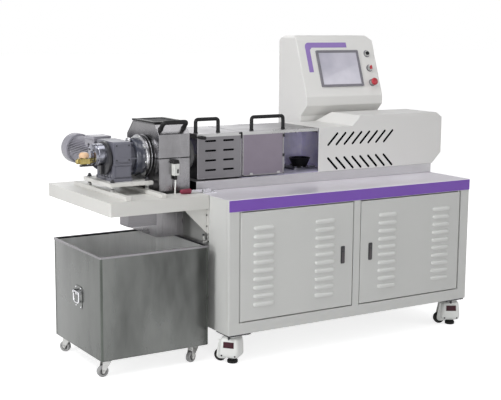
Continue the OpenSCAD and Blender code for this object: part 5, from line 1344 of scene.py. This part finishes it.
def backdrop():
    """The world: a sky that the camera and reflections see at full strength."""
    world = bpy.data.worlds.new("studio")
    bpy.context.scene.world = world
    world.use_nodes = True
    n, l = world.node_tree.nodes, world.node_tree.links
    bg = n["Background"]
    coord = n.new("ShaderNodeTexCoord")
    split = n.new("ShaderNodeSeparateXYZ")
    l.new(coord.outputs["Generated"], split.inputs["Vector"])
    l.new(ramp(n, l, split.outputs["Z"], SKY), bg.inputs["Color"])
    mix = n.new("ShaderNodeMix")
    mix.data_type = "FLOAT"
    mix.inputs["A"].default_value = SKY_LIGHT
    mix.inputs["B"].default_value = 1.0
    l.new(seen(n, l), mix.inputs["Factor"])
    l.new(mix.outputs["Result"], bg.inputs["Strength"])


FLOOR_HALF = 40


def floor():
    """A wide pale floor that shows the object's shadow and fades to white away from it."""
    mesh = bpy.data.meshes.new("floor")
    f = FLOOR_HALF
    mesh.from_pydata([(-f, -f, 0), (f, -f, 0), (f, f, 0), (-f, f, 0)], [], [(0, 1, 2, 3)])
    obj = bpy.data.objects.new("floor", mesh)
    bpy.context.scene.collection.objects.link(obj)
    mat, n, l, b = node_tree("pale_floor")
    b.inputs["Base Color"].default_value = (0.62, 0.62, 0.62, 1)
    b.inputs["Roughness"].default_value = 0.8
    b.inputs["Specular IOR Level"].default_value = 0.1
    b.inputs["Emission Color"].default_value = (1, 1, 1, 1)
    glow = n.new("ShaderNodeMath")
    glow.operation = "MULTIPLY"
    l.new(seen(n, l), glow.inputs[0])
    # the white grows away from the object, so the horizon doesn't show and the shadow does
    coord, size = n.new("ShaderNodeTexCoord"), n.new("ShaderNodeVectorMath")
    size.operation = "LENGTH"
    l.new(coord.outputs["Object"], size.inputs[0])
    l.new(grey_ramp(n, l, size.outputs["Value"], 0.76, 1.0, 1.2, 3.5), glow.inputs[1])
    l.new(glow.outputs["Value"], b.inputs["Emission Strength"])
    mesh.materials.append(mat)


# name, place, size, watts and aim; places and sizes in metres
LAMPS = (
    ("key", (-1.4, -2.6, 5.2), 2.0, 50, (0.5, 0.2, 0.7)),
    ("left_high", (-2.6, -0.2, 3.4), 1.5, 75, (0.5, 0.3, 1.2)),
    ("left_low", (-4.5, -0.8, 1.8), 2.5, 68, (0.0, 0.3, 0.7)),
    ("front", (-1.8, -4.6, 1.3), 1.5, 50, (0.5, 0.2, 0.7)),
    ("top", (1.2, 0.2, 4.6), 2.5, 38, (1.0, 0.3, 0.8)),
    ("right", (4.0, -3.5, 2.6), 2.5, 47, (0.9, 0.2, 0.8)),
    ("rim", (1.5, 4.5, 3.0), 3.0, 40, (0.4, 0.4, 0.7)))


def lamps():
    """Square area lamps, each aimed at a point."""
    for name, loc, size, power, target in LAMPS:
        data = bpy.data.lights.new(name, "AREA")
        data.shape, data.size, data.energy = "SQUARE", size, power
        lamp = bpy.data.objects.new(name, data)
        lamp.location = loc
        lamp.rotation_mode = "QUATERNION"
        lamp.rotation_quaternion = (Vector(target) - Vector(loc)).to_track_quat("-Z", "Y")
        bpy.context.scene.collection.objects.link(lamp)


CAM_PLACE = (-2457.695, -4078.149, 1499.75)
CAM_YAW, CAM_PITCH, CAM_ROLL = 0.558, radians(9.165), 0.008
PHOTO_W, FOCAL_PX, SENSOR = 501, 1109.774, 36


def camera():
    """The photo's viewpoint, solved from the cabinet's edges."""
    cam = bpy.data.cameras.new("camera")
    obj = bpy.data.objects.new("camera", cam)
    bpy.context.scene.collection.objects.link(obj)
    yaw, pitch, roll = CAM_YAW, CAM_PITCH, CAM_ROLL
    forward = Vector((sin(yaw) * cos(pitch), cos(yaw) * cos(pitch), -sin(pitch)))
    right = Vector((cos(yaw), -sin(yaw), 0))
    up = right.cross(forward)
    r2 = right * cos(roll) + up * sin(roll)
    u2 = up * cos(roll) - right * sin(roll)
    rot = Matrix((r2, u2, -forward)).transposed()
    obj.matrix_world = Matrix.Translation(Vector(CAM_PLACE) * MM) @ rot.to_4x4()
    cam.sensor_width = SENSOR
    cam.lens = FOCAL_PX / PHOTO_W * SENSOR
    cam.clip_start, cam.clip_end = 0.05, 200
    bpy.context.scene.camera = obj


cabinet()
door("left_door", None)
door("right_door", mirror_x())
casters()
side_table()
brackets()
chute()
clamp()
covers()
barrel()
die()
housing()
console()
hood()
safety_switch()
drive()
side_valve()
motor()
bin_unit()
backdrop()
floor()
lamps()
camera()

bpy.context.scene.view_settings.view_transform = "Standard"
